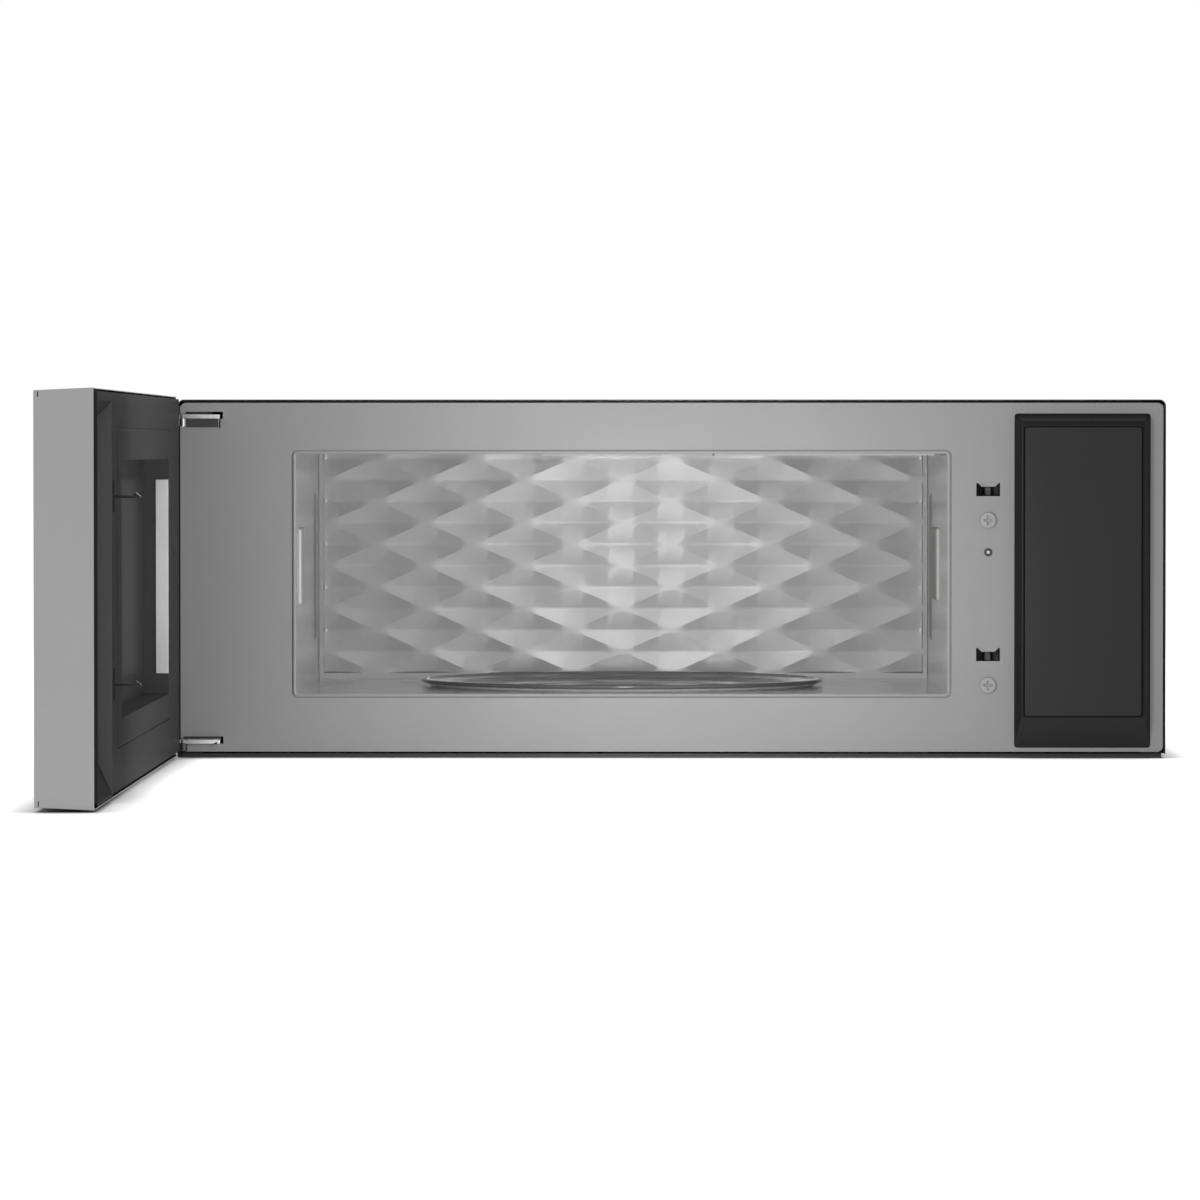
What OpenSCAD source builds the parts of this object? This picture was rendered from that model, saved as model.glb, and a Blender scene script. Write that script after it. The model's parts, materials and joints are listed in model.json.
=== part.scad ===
// Over-the-range microwave oven, low profile, side-hinged door.
// Origin at the centre of the base pan's underside. X to the right, Y to the back, Z up.
// The door is drawn closed and then swung open about its hinge axis.

/* [Body] */
// Width of the body over the case sides
body_w = 760; // [700:1:820]
// Height of the body from the underside of the base pan to the case top
body_h = 276; // [248:1:320]
// Depth of the body from the face plate's front to the back panel
body_d = 414; // [370:1:470]
// Thickness of the case sheets and the base pan
sheet_t = 1; // [0.8:0.1:1.2]
// Radius of the two long upper edges of the case
case_edge_r = 5; // [3:0.5:8]
// How far the base pan hangs below the case sides
base_drop = 3.5; // [2.5:0.5:6]
// How far the base pan is set in from the case's ends
base_inset = 2.5; // [2:0.5:20]
// Width of the folded flanges of the case sides
flange_w = 18; // [14:1:22]
// Radius of the two bolt holes in the case top
top_hole_r = 3.3; // [2.5:0.1:5]
// Spacing of the two bolt holes in the case top
top_hole_spacing = 560; // [400:5:600]
// Distance of the bolt holes from the face plate
top_hole_y = 110; // [90:1:140]
// Width of the exhaust outlet in the case top
outlet_w = 200; // [150:5:240]
// Depth of the exhaust outlet in the case top
outlet_d = 38; // [24:1:40]
// Number of air slots along the front of the case top
top_slots = 24; // [10:2:28]
// Length of each air slot
top_slot_l = 34; // [20:1:40]
// Width of each air slot
top_slot_w = 6; // [4:0.5:8]

/* [Face plate] */
// Thickness of the face plate
plate_t = 1; // [0.8:0.1:1.5]
// Gap between the face plate's edge and the inside of the case
plate_gap = 1; // [0.5:0.1:2]
// Corner radius of the face plate
plate_r = 4.5; // [3:0.5:8]
// Height of a latch slot
slot_h = 10.2; // [10:0.1:12]
// Width of a latch slot
slot_w = 18.2; // [14:0.2:22]
// Distance of the latch slots' centre line from the body's right edge
slot_x_in = 136.5; // [134:0.5:140]
// Distance of the upper latch slot's centre below the body's top
slot_top_in = 69.2; // [64:0.2:76]
// Height of the lower latch slot's centre
slot_z_lo = 79.9; // [72:0.1:88]
// Drop from a latch slot to the screw below it
screw_drop = 23.6; // [20:0.1:28]
// Head radius of the two latch screws
latch_head_r = 6; // [4:0.5:7]
// Shank radius of the two latch screws
latch_shank_r = 2; // [1.5:0.1:2.5]

/* [Cavity] */
// Distance of the cavity from the body's right edge
cav_right_in = 167.7; // [164:0.1:190]
// Distance of the cavity's ceiling below the body's top
cav_top_in = 41.6; // [38:0.2:60]
// Distance of the cavity's back wall from the body's back
cav_back_in = 58; // [56:0.5:80]
// Distance of the cavity from the body's left edge
cav_x_in = 90.8; // [80:0.2:95]
// Height of the cavity floor
cav_floor_z = 49.4; // [46:0.2:52]
// Thickness of the cavity's sheets
wall_t = 1; // [0.8:0.1:1.5]
// Corner radius of the cavity opening
cav_r = 2; // [1:0.5:8]
// Number of relief diamonds across the back wall
relief_n = 6; // [4:1:10]
// Number of half rows of relief diamonds
relief_rows = 10; // [6:2:16]
// Height of the relief
relief_h = 2.6; // [1:0.1:4]
// Plain margin round the relief
relief_margin = 4; // [2:0.5:10]
// Depth of the two pressed bosses in the side walls
boss_h = 1.5; // [0.5:0.1:3]
// How far the round well's edge lies inside the tray's rim
well_in = 8; // [4:0.5:12]
// Depth of the round well
well_depth = 13.4; // [12:0.1:16]

/* [Turntable] */
// Gap between the tray's rim and the cavity's back wall
tray_gap = 18; // [12:0.5:24]
// Thickness of the glass tray
tray_t = 4; // [3:0.5:6]
// Height of the tray's rim above its underside
tray_rim_h = 10.5; // [8:0.5:14]
// Width of the tray's rising border
tray_border = 24; // [20:1:30]
// Radius of a roller
roller_r = 4.2; // [3.8:0.1:4.6]
// Length of a roller along its axle
roller_l = 5; // [4:0.5:7]
// Radius of a roller's axle
axle_r = 1.2; // [1:0.1:1.6]
// Mean radius of the roller ring
ring_r = 91; // [70:1:110]
// Width of the roller ring
ring_w = 6; // [4:0.5:8]
// Height of the roller ring
ring_h = 3; // [2:0.2:3.6]
// Radius of the drive coupler
coupler_r = 18; // [12:0.5:24]
// Radius of the drive shaft
drive_r = 3.5; // [2.5:0.1:4.5]

/* [Door] */
// Distance of the door's free end from the body's right edge
door_end_in = 1.3; // [0:0.1:3]
// Thickness of the door from its liner's face to its front
door_t = 41.7; // [38:0.1:46]
// Clear gap between the closed door and the face plate
door_gap = 6.4; // [6:0.1:8]
// Height of the door front's lower edge
door_z_lo = 3.1; // [1:0.1:6]
// How far the door front's upper edge stands above the body's top
door_over = 0.6; // [0:0.1:4]
// How much the door's long sides widen towards the body
door_draft = 1.8; // [0.5:0.1:3]
// Thickness of the stainless skin
skin_t = 1; // [0.8:0.1:1.5]
// How far the liner stands proud of the skin
liner_proud = 2.2; // [1:0.1:4]
// Thickness of the liner
liner_t = 2.5; // [2:0.1:3]
// Gap between the liner's edge and the skin
liner_gap = 1.2; // [0.6:0.1:2.5]
// Extra gap between the liner's lower edge and the skin
liner_low_gap = 1.8; // [0.5:0.1:3]
// Left edge of the window, measured from the door's hinge end
window_x0 = 111; // [90:1:130]
// Right edge of the window, measured from the door's free end
window_right_in = 201; // [190:1:230]
// Lower edge of the window
window_z0 = 53.7; // [50:0.1:80]
// Distance of the window's upper edge below the body's top
window_top_in = 45.5; // [40:0.1:70]
// Depth of the window recess in the liner
window_deep = 19.4; // [12:0.1:20]
// Thickness of the inner window
inner_window_t = 2.6; // [2:0.1:4]
// Thickness of the perforated screen
screen_t = 0.8; // [0.6:0.1:1]
// Thickness of the door frame's steel
frame_t = 1.2; // [0.8:0.1:2]
// Thickness of the front glass
glass_t = 4; // [3:0.2:5]
// Margin of stainless round the front glass
glass_margin = 14; // [10:0.5:30]
// Depth of the pocket in the liner that takes the bay housing
pocket_deep = 9.5; // [8:0.1:11]
// Clearance between the bay housing and that pocket
pocket_gap = 3; // [2:0.1:4]
// Distance of a window trim's ends from the window's corners
trim_in = 15.6; // [10:0.2:30]
// Width of a window trim
trim_w = 9.3; // [6:0.1:12]
// Thickness of a window trim
trim_t = 0.8; // [0.5:0.1:1]

/* [Hinge] */
// Distance of the hinge axis from the body's left edge
hinge_x_in = 4.2; // [4:0.1:5]
// Distance of the hinge axis in front of the face plate
hinge_y_out = 3.6; // [3.4:0.1:4]
// Radius of a hinge pin
pin_r = 1.6; // [1.4:0.1:1.8]
// Radial clearance of a hinge pin in its bush
pin_clear = 0.05; // [0.03:0.01:0.1]
// Outer radius of a hinge bush
bush_r = 3.1; // [2.8:0.1:3.1]
// Length of a hinge bush
bush_l = 5.6; // [4:0.1:6]
// Thickness of a hinge bracket
bracket_t = 3; // [2.5:0.1:3.4]
// Width of a hinge bracket
bracket_w = 28.5; // [24:0.5:40]
// Room above and beside a hinge bracket in its slot in the face plate
bracket_room = 2.2; // [0.5:0.1:3]
// Height of the upper bracket's apron in front of the face plate
apron_h = 6.6; // [4:0.1:8]
// Height of the lower hinge bracket
bracket_z_lo = 11.4; // [11:0.1:16]
// Distance of the upper hinge bracket below the body's top
bracket_top_in = 14.6; // [14:0.2:20]
// How far the door reaches past its hinge axis
door_past = 1.5; // [1:0.1:2]

/* [Latch] */
// How far a hook reaches out of the liner
hook_reach = 18.4; // [16:0.2:20]
// Thickness of a hook
hook_t = 4.4; // [3:0.2:6]
// Height of a hook's barb above the slot's centre
hook_up = 1.8; // [1.2:0.1:2]
// Depth of a hook's lower face below the slot's centre
hook_down = 1.9; // [1.5:0.1:2]
// Height of a hook's arm
hook_arm_h = 2.1; // [1.5:0.1:2.4]
// Travel of the latch head
latch_travel = 3; // [2:0.1:3.2]
// Radius of the door plunger
plunger_r = 1.25; // [1:0.05:1.5]
// How far the plunger stands out of the face plate
plunger_out = 2.2; // [1.8:0.1:3]
// Travel of the plunger
plunger_travel = 1.6; // [1:0.1:1.8]
// Drop from the upper latch slot to the plunger
plunger_drop = 48.2; // [40:0.2:52]

/* [Bay housing] */
// Width of the black housing beside the latch
bay_w = 104.6; // [100:0.2:106]
// Distance of the housing's upper edge below the body's top
bay_top_in = 10.8; // [10:0.1:16]
// Distance of the housing from the body's right edge
bay_x_in = 11.8; // [11:0.1:14]
// Height of the housing's lower edge
bay_z = 8.2; // [8:0.1:12]
// How far the housing stands proud of the face plate
bay_proud = 11; // [9:0.2:12]
// Width of the sloping sides
bay_side = 5; // [3:0.2:7]
// Width of the sloping top
bay_top = 6; // [4:0.2:8]
// Height of the sloping lower end
bay_chin = 23.4; // [15:0.2:30]
// Thickness of the cover set in the housing
cover_t = 1.6; // [1:0.1:2]
// Margin between the cover and the housing's flat
cover_margin = 2.2; // [1.5:0.1:4]

/* [Air and light] */
// Width of a grease filter
filter_w = 140; // [100:1:150]
// Depth of a grease filter
filter_d = 270; // [200:1:280]
// Thickness of a grease filter
filter_t = 6; // [4:0.5:8]
// Distance of the left grease filter from the base pan's end
filter_left_in = 50; // [30:1:60]
// Distance of the right grease filter from the service space
filter_right_in = 13.3; // [10:0.1:20]
// Length of the charcoal filter
charcoal_w = 200; // [120:1:220]
// Depth of the charcoal filter
charcoal_d = 64; // [50:1:70]
// Length of the cooktop lamp's lens
lens_w = 96; // [60:1:120]
// Depth of the cooktop lamp's lens
lens_d = 38; // [24:1:44]
// Radius of a blower wheel
wheel_r = 21; // [16:0.5:22]
// Length of a blower wheel
wheel_l = 130; // [80:1:140]
// Blades on a blower wheel
wheel_blades = 16; // [10:1:24]
// Radius of the cooling fan
fan_r = 52; // [40:1:56]
// Blades on the cooling fan
fan_blades = 5; // [3:1:7]

/* [Covers] */
// Distance of the vent cover's middle behind the body's front
vent_in = 70; // [60:1:90]
// Depth of the vent cover
vent_w = 44; // [30:1:60]
// Height of the vent cover
vent_h = 60; // [40:1:70]
// Width of the lamp's cover
lamp_w = 94; // [88:1:100]
// Depth of the lamp's cover
lamp_d = 60; // [50:1:70]
// Distance of the stirrer cover's inner edge from the cavity's middle
stirrer_off = 72.5; // [66:0.5:80]
// Depth of the stirrer cover
stirrer_d = 140; // [100:1:160]

/* [Power parts] */
// Length of the transformer's core
core_w = 96; // [80:1:100]
// Depth of the transformer's core
core_d = 46; // [36:1:50]
// Height of the transformer's core
core_h = 78; // [60:1:90]
// Width of the transformer's windings
coil_w = 56; // [40:1:60]
// How far the windings stand out of the core
coil_out = 20; // [14:0.5:22]
// Distance between the capacitor's round ends
cap_w = 60; // [40:1:64]
// Radius of the capacitor's round ends
cap_r = 16; // [12:0.5:18]
// Height of the capacitor
cap_h = 60; // [50:1:66]
// Depth of the magnetron
tube_d = 60; // [50:1:64]
// Height of the magnetron's frame
tube_h = 60; // [50:1:64]
// Length of the magnetron's finned body
tube_w = 40; // [34:1:44]
// Radius of the magnetron's anode
anode_r = 19; // [14:0.5:22]
// Width of the touch board
board_w = 112; // [90:1:116]
// How far the thermal cut-outs sit in from the cavity's walls
cutout_in = 60; // [50:1:70]

/* [Hidden] */
$fn = 48;
eps = 0.02;
run_gap = 0.3;
door_rest_angle = 90;

left_x = -body_w / 2;
right_x = body_w / 2;
front_y = -body_d / 2;
back_y = body_d / 2;
inner_front_y = front_y + plate_t;

plate_x0 = left_x + sheet_t + plate_gap;
plate_x1 = right_x - sheet_t - plate_gap;
plate_z0 = base_drop + sheet_t + plate_gap / 2;
plate_z1 = body_h - sheet_t - plate_gap * 1.5;

cav_x0 = left_x + cav_x_in;
cav_x1 = right_x - cav_right_in;
cav_w = cav_x1 - cav_x0;
cav_cx = (cav_x0 + cav_x1) / 2;
cav_z1 = body_h - cav_top_in;
cav_back_y = back_y - cav_back_in;

tray_y = (front_y + cav_back_y) / 2;
tray_r = (cav_back_y - front_y) / 2 - tray_gap;
tray_flat_r = tray_r - tray_border;
well_r = tray_r - well_in;
well_z = cav_floor_z - well_depth;
well_foot_r = well_r - 6;
tray_z = well_z + 2 * roller_r + 2 * run_gap;
axle_z = well_z + run_gap + roller_r;
roller_x0 = ring_r + ring_w / 2 + run_gap;
axle_head_l = 1.2;
well_hole_r = drive_r + 2;

hinge_x = left_x + hinge_x_in;
hinge_y = front_y - hinge_y_out;
door_in_y = front_y - door_gap;
door_x0 = hinge_x - door_past;
door_x1 = right_x - door_end_in;
door_z_hi = body_h + door_over;
skin_u0 = liner_proud;
liner_z0 = door_z_lo - door_draft * 0.8 + skin_t + liner_gap + liner_low_gap;
liner_z1 = door_z_hi + door_draft - skin_t - liner_gap;
liner_x0 = door_x0 + skin_t + liner_gap;
liner_x1 = door_x1 - skin_t - liner_gap;
win_x0 = door_x0 + window_x0;
win_x1 = door_x1 - window_right_in;
window_z1 = body_h - window_top_in;
lip = 6;
inner_window_u = window_deep;
frame_u = inner_window_u + inner_window_t;
glass_u = door_t - glass_t;
glass_x0 = door_x0 + glass_margin;
glass_x1 = door_x1 - glass_margin;
glass_z0 = door_z_lo + glass_margin;
glass_z1 = door_z_hi - glass_margin;
glass_gap = 0.4;
ledge_w = 12;

slot_x = right_x - slot_x_in;
slot_z_hi = body_h - slot_top_in;
slot_zs = [slot_z_lo, slot_z_hi];
plunger_z = slot_z_hi - plunger_drop;
latch_bar_u = liner_t + run_gap;
latch_bar_t = 6;
latch_bar_w = 10;
rail_t = 3;
rail_l = 16;
hook_slot_w = 9;
hook_play = 14.9;
hook_slot_h = latch_travel + hook_up + hook_down + hook_play;
bracket_deep = 26;

bay_x1 = right_x - bay_x_in;
bay_x0 = bay_x1 - bay_w;
bay_z1 = body_h - bay_top_in;
bay_back = 9;
bay_flat_x0 = bay_x0 + bay_side;
bay_flat_x1 = bay_x1 - bay_side;
bay_flat_z0 = bay_z + bay_chin;
bay_flat_z1 = bay_z1 - bay_top;
cover_x0 = bay_flat_x0 + cover_margin;
cover_x1 = bay_flat_x1 - cover_margin;
cover_z0 = bay_flat_z0 + cover_margin / 3;
cover_z1 = bay_flat_z1 - cover_margin * 1.8;

service_x0 = cav_x1 + wall_t;
service_x1 = right_x - sheet_t;
pan_x0 = left_x + base_inset;
pan_x1 = right_x - base_inset;
pan_y0 = front_y + 8;
pan_y1 = back_y - sheet_t;
rear_y = (cav_back_y + wall_t + back_y - sheet_t) / 2;
blower_z = cav_z1 - wheel_r - 4;
fan_x = (service_x0 + service_x1) / 2;
fan_y = back_y - 62;
fan_z = (cav_floor_z + cav_z1) / 2 - 29.9;
guide_y = tray_y + 9;
guide_z = (cav_floor_z + cav_z1) / 2 + 4.5;

slot_pitch = (cav_w - 60) / top_slots;
gland_r = 9;
case_screw_r = 1.6;
screw_head_r = 3.4;
case_screw_zs = [24, body_h / 2, body_h - 28];
sleeve_r = 2.6;
sleeve_l = 8;
collar_t = 1.5;
lens_y = front_y + 46;
filter_x_left = pan_x0 + filter_left_in + filter_w / 2;
filter_x_right = service_x0 - filter_right_in - filter_w / 2;
filter_xs = [filter_x_left, filter_x_right];
bracket_x1 = hinge_x + bracket_w;
bracket_z_hi = body_h - bracket_top_in;

relief_x0 = cav_x0 + relief_margin;
relief_x1 = cav_x1 - relief_margin;
relief_z0 = cav_floor_z + relief_margin;
relief_z1 = cav_z1 - relief_margin;
relief_cols = 2 * relief_n;
relief_count = (relief_cols + 1) * (relief_rows + 1);

guide_w = 64;
guide_h = 50;
guide_deep = 34;
guide_rise = 26;
lamp_x = cav_cx - 14.5;
lamp_y = front_y + 90;
motor_y = fan_y + 20;
blower_mid = -20;
motor_half = 20;
shaft_r = 3;
roller_angles = [90, 210, 330];

pocket_x0 = bay_x0 - pocket_gap;
pocket_x1 = liner_x1 - liner_t;
pocket_z0 = liner_z0 + 0.4;
pocket_z1 = bay_z1 + pocket_gap + 1.8;
pocket_chin = bay_chin - 3;
trim_z0 = window_z0 + trim_in;
trim_z1 = window_z1 - trim_in;

// Plain block between two corners
module block(x0, x1, y0, y1, z0, z1) {
    translate([x0, y0, z0])
        cube([x1 - x0, y1 - y0, z1 - z0]);
}

// Rectangle with round corners in the plane of a front view
module round_rect(x0, x1, z0, z1, r) {
    translate([x0 + r, z0])
        square([x1 - x0 - 2 * r, z1 - z0]);
    translate([x0, z0 + r])
        square([x1 - x0, z1 - z0 - 2 * r]);
    for (x = [x0 + r, x1 - r])
        for (z = [z0 + r, z1 - r])
            translate([x, z])
                circle(r);
}

// Upright plate with round corners, facing the front
module upright(x0, x1, y0, y1, z0, z1, r) {
    translate([0, y1, 0])
        rotate([90, 0, 0])
            linear_extrude(y1 - y0)
                round_rect(x0, x1, z0, z1, r);
}

// Cylinder along Y between two depths
module rod_y(x, z, y0, y1, r) {
    translate([x, y1, z])
        rotate([90, 0, 0])
            cylinder(r = r, h = y1 - y0);
}

// Cylinder along X between two positions
module rod_x(x0, x1, y, z, r) {
    translate([x0, y, z])
        rotate([0, 90, 0])
            cylinder(r = r, h = x1 - x0);
}

// Upright cylinder between two heights
module rod_z(x, y, z0, z1, r) {
    translate([x, y, z0])
        cylinder(r = r, h = z1 - z0);
}

// Swings what was drawn closed out to the door's open place
module swing() {
    translate([hinge_x, hinge_y, 0])
        rotate([0, 0, -door_rest_angle])
            translate([-hinge_x, -hinge_y, 0])
                children();
}

// Block in the closed door, with depths counted from the liner's face
module door_block(x0, x1, u0, u1, z0, z1) {
    block(x0, x1, door_in_y - u1, door_in_y - u0, z0, z1);
}

// Upright plate with round corners in the closed door
module door_upright(x0, x1, u0, u1, z0, z1, r) {
    upright(x0, x1, door_in_y - u1, door_in_y - u0, z0, z1, r);
}

// Outline of the case seen from the front, grown inwards by an inset
module case_outline(inset) {
    r = case_edge_r - inset;
    translate([left_x + inset + r, 0])
        square([body_w - 2 * inset - 2 * r, body_h - inset]);
    translate([left_x + inset, 0])
        square([body_w - 2 * inset, body_h - case_edge_r]);
    for (x = [left_x + case_edge_r, right_x - case_edge_r])
        translate([x, body_h - case_edge_r])
            circle(r);
}

module case_top() color("#202020") {
    slot_y = front_y + 24;
    difference() {
        translate([0, back_y, 0])
            rotate([90, 0, 0])
                linear_extrude(body_d)
                    difference() {
                        case_outline(0);
                        case_outline(sheet_t);
                        translate([left_x - 1, -1])
                            square([body_w + 2, body_h - case_edge_r + 1]);
                    }
        for (i = [0 : top_slots - 1])
            translate([cav_x0 + 30 + (i + 0.5) * slot_pitch - top_slot_w / 2, slot_y, body_h - 2])
                cube([top_slot_w, top_slot_l, 4]);
        for (x = [-top_hole_spacing / 2, top_hole_spacing / 2])
            rod_z(x, front_y + top_hole_y, body_h - 2, body_h + 1, top_hole_r);
        block(-outlet_w / 2, outlet_w / 2, rear_y - outlet_d / 2, rear_y + outlet_d / 2,
              body_h - 2, body_h + 1);
        rod_z(service_x1 - 40, back_y - 40, body_h - 2, body_h + 1, gland_r + 0.2);
    }
}
// One side of the case with its folded flanges, for the left side or mirrored for the right
module case_side() {
    hole_in = flange_w / 2 + sheet_t;
    difference() {
        union() {
            block(left_x, left_x + sheet_t, front_y, back_y, base_drop, body_h - case_edge_r);
            block(left_x, left_x + flange_w + sheet_t, front_y + 8, back_y, base_drop, base_drop + sheet_t);
            block(left_x, left_x + flange_w, back_y - 2 * sheet_t, back_y - sheet_t, base_drop, body_h - 12);
        }
        for (z = case_screw_zs)
            rod_y(left_x + hole_in, z, back_y - 4, back_y + 1, case_screw_r + 0.1);
    }
}
module case_left_side() color("#1c1c1c") case_side();
module case_right_side() color("#1c1c1c") mirror([1, 0, 0]) case_side();

// Cone of a countersunk screw head in the back panel, grown by a gap
module screw_sink(x, z, grow) {
    translate([x, back_y + grow / 2, z])
        rotate([90, 0, 0])
            cylinder(r1 = screw_head_r + grow, r2 = case_screw_r + grow, h = sheet_t + grow);
}

module back_panel() color("#8f9296") {
    hole_in = flange_w / 2 + sheet_t;
    difference() {
        block(left_x + sheet_t, right_x - sheet_t, back_y - sheet_t, back_y,
              base_drop + sheet_t, body_h - sheet_t - 4);
        for (x = [left_x + hole_in, right_x - hole_in])
            for (z = case_screw_zs)
                screw_sink(x, z, 0.1);
    }
}

module base_pan() color("#2b2b2b") {
    filter_rest = 4;
    difference() {
        block(pan_x0, pan_x1, pan_y0, pan_y1, 0, base_drop);
        block(pan_x0 + sheet_t, pan_x1 - sheet_t, pan_y0 + sheet_t, pan_y1 - sheet_t,
              sheet_t, base_drop + 1);
        for (x = filter_xs)
            block(x - filter_w / 2 + filter_rest, x + filter_w / 2 - filter_rest,
                  -filter_d / 2 + filter_rest, filter_d / 2 - filter_rest, -1, base_drop);
        block(-lens_w / 2 + filter_rest, lens_w / 2 - filter_rest,
              lens_y - lens_d / 2 + filter_rest, lens_y + lens_d / 2 - filter_rest, -1, base_drop);
    }
}
module face_plate() color("#b9b9b6") {
    difference() {
        upright(plate_x0, plate_x1, front_y, inner_front_y, plate_z0, plate_z1, plate_r);
        upright(cav_x0, cav_x1, front_y - 1, inner_front_y + 1, cav_floor_z, cav_z1, cav_r);
        for (z = slot_zs) {
            block(slot_x - slot_w / 2, slot_x + slot_w / 2, front_y - 1, inner_front_y + 1,
                  z - slot_h / 2, z + slot_h / 2);
            rod_y(slot_x, z - screw_drop, front_y - 1, inner_front_y + 1, latch_shank_r + 0.2);
        }
        rod_y(slot_x, plunger_z, front_y - 1, inner_front_y + 1, sleeve_r + 0.1);
        block(bay_x0 + 1, bay_x1 - 1, front_y - 1, inner_front_y + 1, bay_z + 1, bay_z1 - 1);
        for (z = [bracket_z_lo, bracket_z_hi])
            block(hinge_x + 2, bracket_x1 + bracket_room, front_y - 1, inner_front_y + 1,
                  z - run_gap, z + bracket_t + bracket_room);
    }
}

// A pressed side wall with a boss that stands into the cavity
module side_wall(x_in, dir) {
    x_out = x_in - dir * wall_t;
    boss_y = cav_back_y - 56;
    block(min(x_in, x_out), max(x_in, x_out), inner_front_y, cav_back_y, cav_floor_z, cav_z1);
    boss_x = x_in + dir * boss_h;
    hull() {
        block(min(x_in, x_in + dir * eps), max(x_in, x_in + dir * eps), boss_y - 12, boss_y + 12,
              cav_floor_z + 32.6, cav_z1 - 31.4);
        block(min(boss_x, boss_x - dir * eps), max(boss_x, boss_x - dir * eps), boss_y - 8, boss_y + 8,
              cav_floor_z + 36.6, cav_z1 - 35.4);
    }
}

module cavity_left_wall() color("#a8a8a5") side_wall(cav_x0, 1);
module cavity_right_wall() color("#a8a8a5") {
    difference() {
        side_wall(cav_x1, -1);
        block(cav_x1 - 1, service_x0 + 1, guide_y - guide_w / 2, guide_y + guide_w / 2,
              guide_z - guide_h / 2, guide_z + guide_h / 2);
    }
}
module cavity_ceiling() color("#a0a09d") {
    difference() {
        block(cav_x0 - wall_t, service_x0, inner_front_y, cav_back_y, cav_z1, cav_z1 + wall_t);
        block(lamp_x - 20, lamp_x + 20, lamp_y - 14, lamp_y + 14, cav_z1 - 1, cav_z1 + 2);
    }
}
module cavity_floor() color("#a8a8a5") {
    difference() {
        block(cav_x0 - wall_t, service_x0, inner_front_y, cav_back_y, cav_floor_z - wall_t, cav_floor_z);
        rod_z(cav_cx, tray_y, cav_floor_z - 2, cav_floor_z + 1, well_r);
    }
}

module floor_well() color("#a0a09d") {
    top_z = cav_floor_z - wall_t;
    translate([cav_cx, tray_y, 0])
        rotate_extrude($fn = 96)
            polygon([
                [well_hole_r, well_z - wall_t],
                [well_foot_r + wall_t, well_z - wall_t],
                [well_r + wall_t, top_z - wall_t],
                [well_r + 8, top_z - wall_t],
                [well_r + 8, top_z],
                [well_r, top_z],
                [well_foot_r, well_z],
                [well_hole_r, well_z]
            ]);
}

// Quilted relief of long diamonds: the corner points rise and fall in turn
function relief_point(i, k) = [
    relief_x0 + (relief_x1 - relief_x0) * i / relief_cols,
    cav_back_y - ((i + k) % 2 == 0 ? 0.4 : relief_h),
    relief_z0 + (relief_z1 - relief_z0) * k / relief_rows
];
function relief_index(i, k) = k * (relief_cols + 1) + i;
relief_front = [for (k = [0 : relief_rows]) for (i = [0 : relief_cols]) relief_point(i, k)];
relief_back = [for (p = relief_front) [p[0], cav_back_y + 0.5, p[2]]];

// Two triangles for one cell, split along the line between its two low corners
function relief_cell(i, k) = (i + k) % 2 == 0
    ? [[relief_index(i, k), relief_index(i + 1, k), relief_index(i + 1, k + 1)],
       [relief_index(i, k), relief_index(i + 1, k + 1), relief_index(i, k + 1)]]
    : [[relief_index(i, k), relief_index(i + 1, k), relief_index(i, k + 1)],
       [relief_index(i + 1, k), relief_index(i + 1, k + 1), relief_index(i, k + 1)]];

module relief_sheet() {
    front_faces = [for (k = [0 : relief_rows - 1]) for (i = [0 : relief_cols - 1])
        each relief_cell(i, k)];
    back_faces = [for (f = front_faces)
        [relief_count + f[2], relief_count + f[1], relief_count + f[0]]];
    rim = concat(
        [for (i = [0 : relief_cols - 1]) relief_index(i, 0)],
        [for (k = [0 : relief_rows - 1]) relief_index(relief_cols, k)],
        [for (i = [relief_cols : -1 : 1]) relief_index(i, relief_rows)],
        [for (k = [relief_rows : -1 : 1]) relief_index(0, k)]
    );
    n = len(rim);
    side_faces = [for (j = [0 : n - 1]) each [
        [rim[j], relief_count + rim[j], rim[(j + 1) % n]],
        [rim[(j + 1) % n], relief_count + rim[j], relief_count + rim[(j + 1) % n]]
    ]];
    flipped = [for (f = concat(front_faces, back_faces, side_faces)) [f[2], f[1], f[0]]];
    polyhedron(points = concat(relief_front, relief_back), faces = flipped);
}

module cavity_back_wall() color("#c8c8c5") {
    block(cav_x0 - wall_t, service_x0, cav_back_y, cav_back_y + wall_t,
          cav_floor_z - wall_t, cav_z1 + wall_t);
    relief_sheet();
}

// Pressed plate with chamfered edges on a side wall of the cavity
module wall_cover(x_in, dir, y, z, w, h, t) {
    hull() {
        block(min(x_in, x_in + dir * 0.4), max(x_in, x_in + dir * 0.4), y - w / 2, y + w / 2,
              z - h / 2, z + h / 2);
        block(min(x_in, x_in + dir * t), max(x_in, x_in + dir * t), y - w / 2 + 2, y + w / 2 - 2,
              z - h / 2 + 2, z + h / 2 - 2);
    }
}

module cavity_vent_cover() color("#bdbdba")
    wall_cover(cav_x0, 1, front_y + vent_in, guide_z, vent_w, vent_h, 2);

module waveguide_cover() color("#cfcfca")
    wall_cover(cav_x1, -1, guide_y, guide_z, guide_w + 12, guide_h + 8, 2);

module lamp_cover() color("#d8d8d8")
    block(lamp_x - lamp_w / 2, lamp_x + lamp_w / 2, lamp_y - lamp_d / 2, lamp_y + lamp_d / 2,
        cav_z1 - 1.5, cav_z1);

module stirrer_cover() color("#c6c6c2")
    block(cav_cx + stirrer_off, cav_x1 - 6, tray_y - stirrer_d / 2, tray_y + stirrer_d / 2,
        cav_z1 - 1.5, cav_z1);

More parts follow.
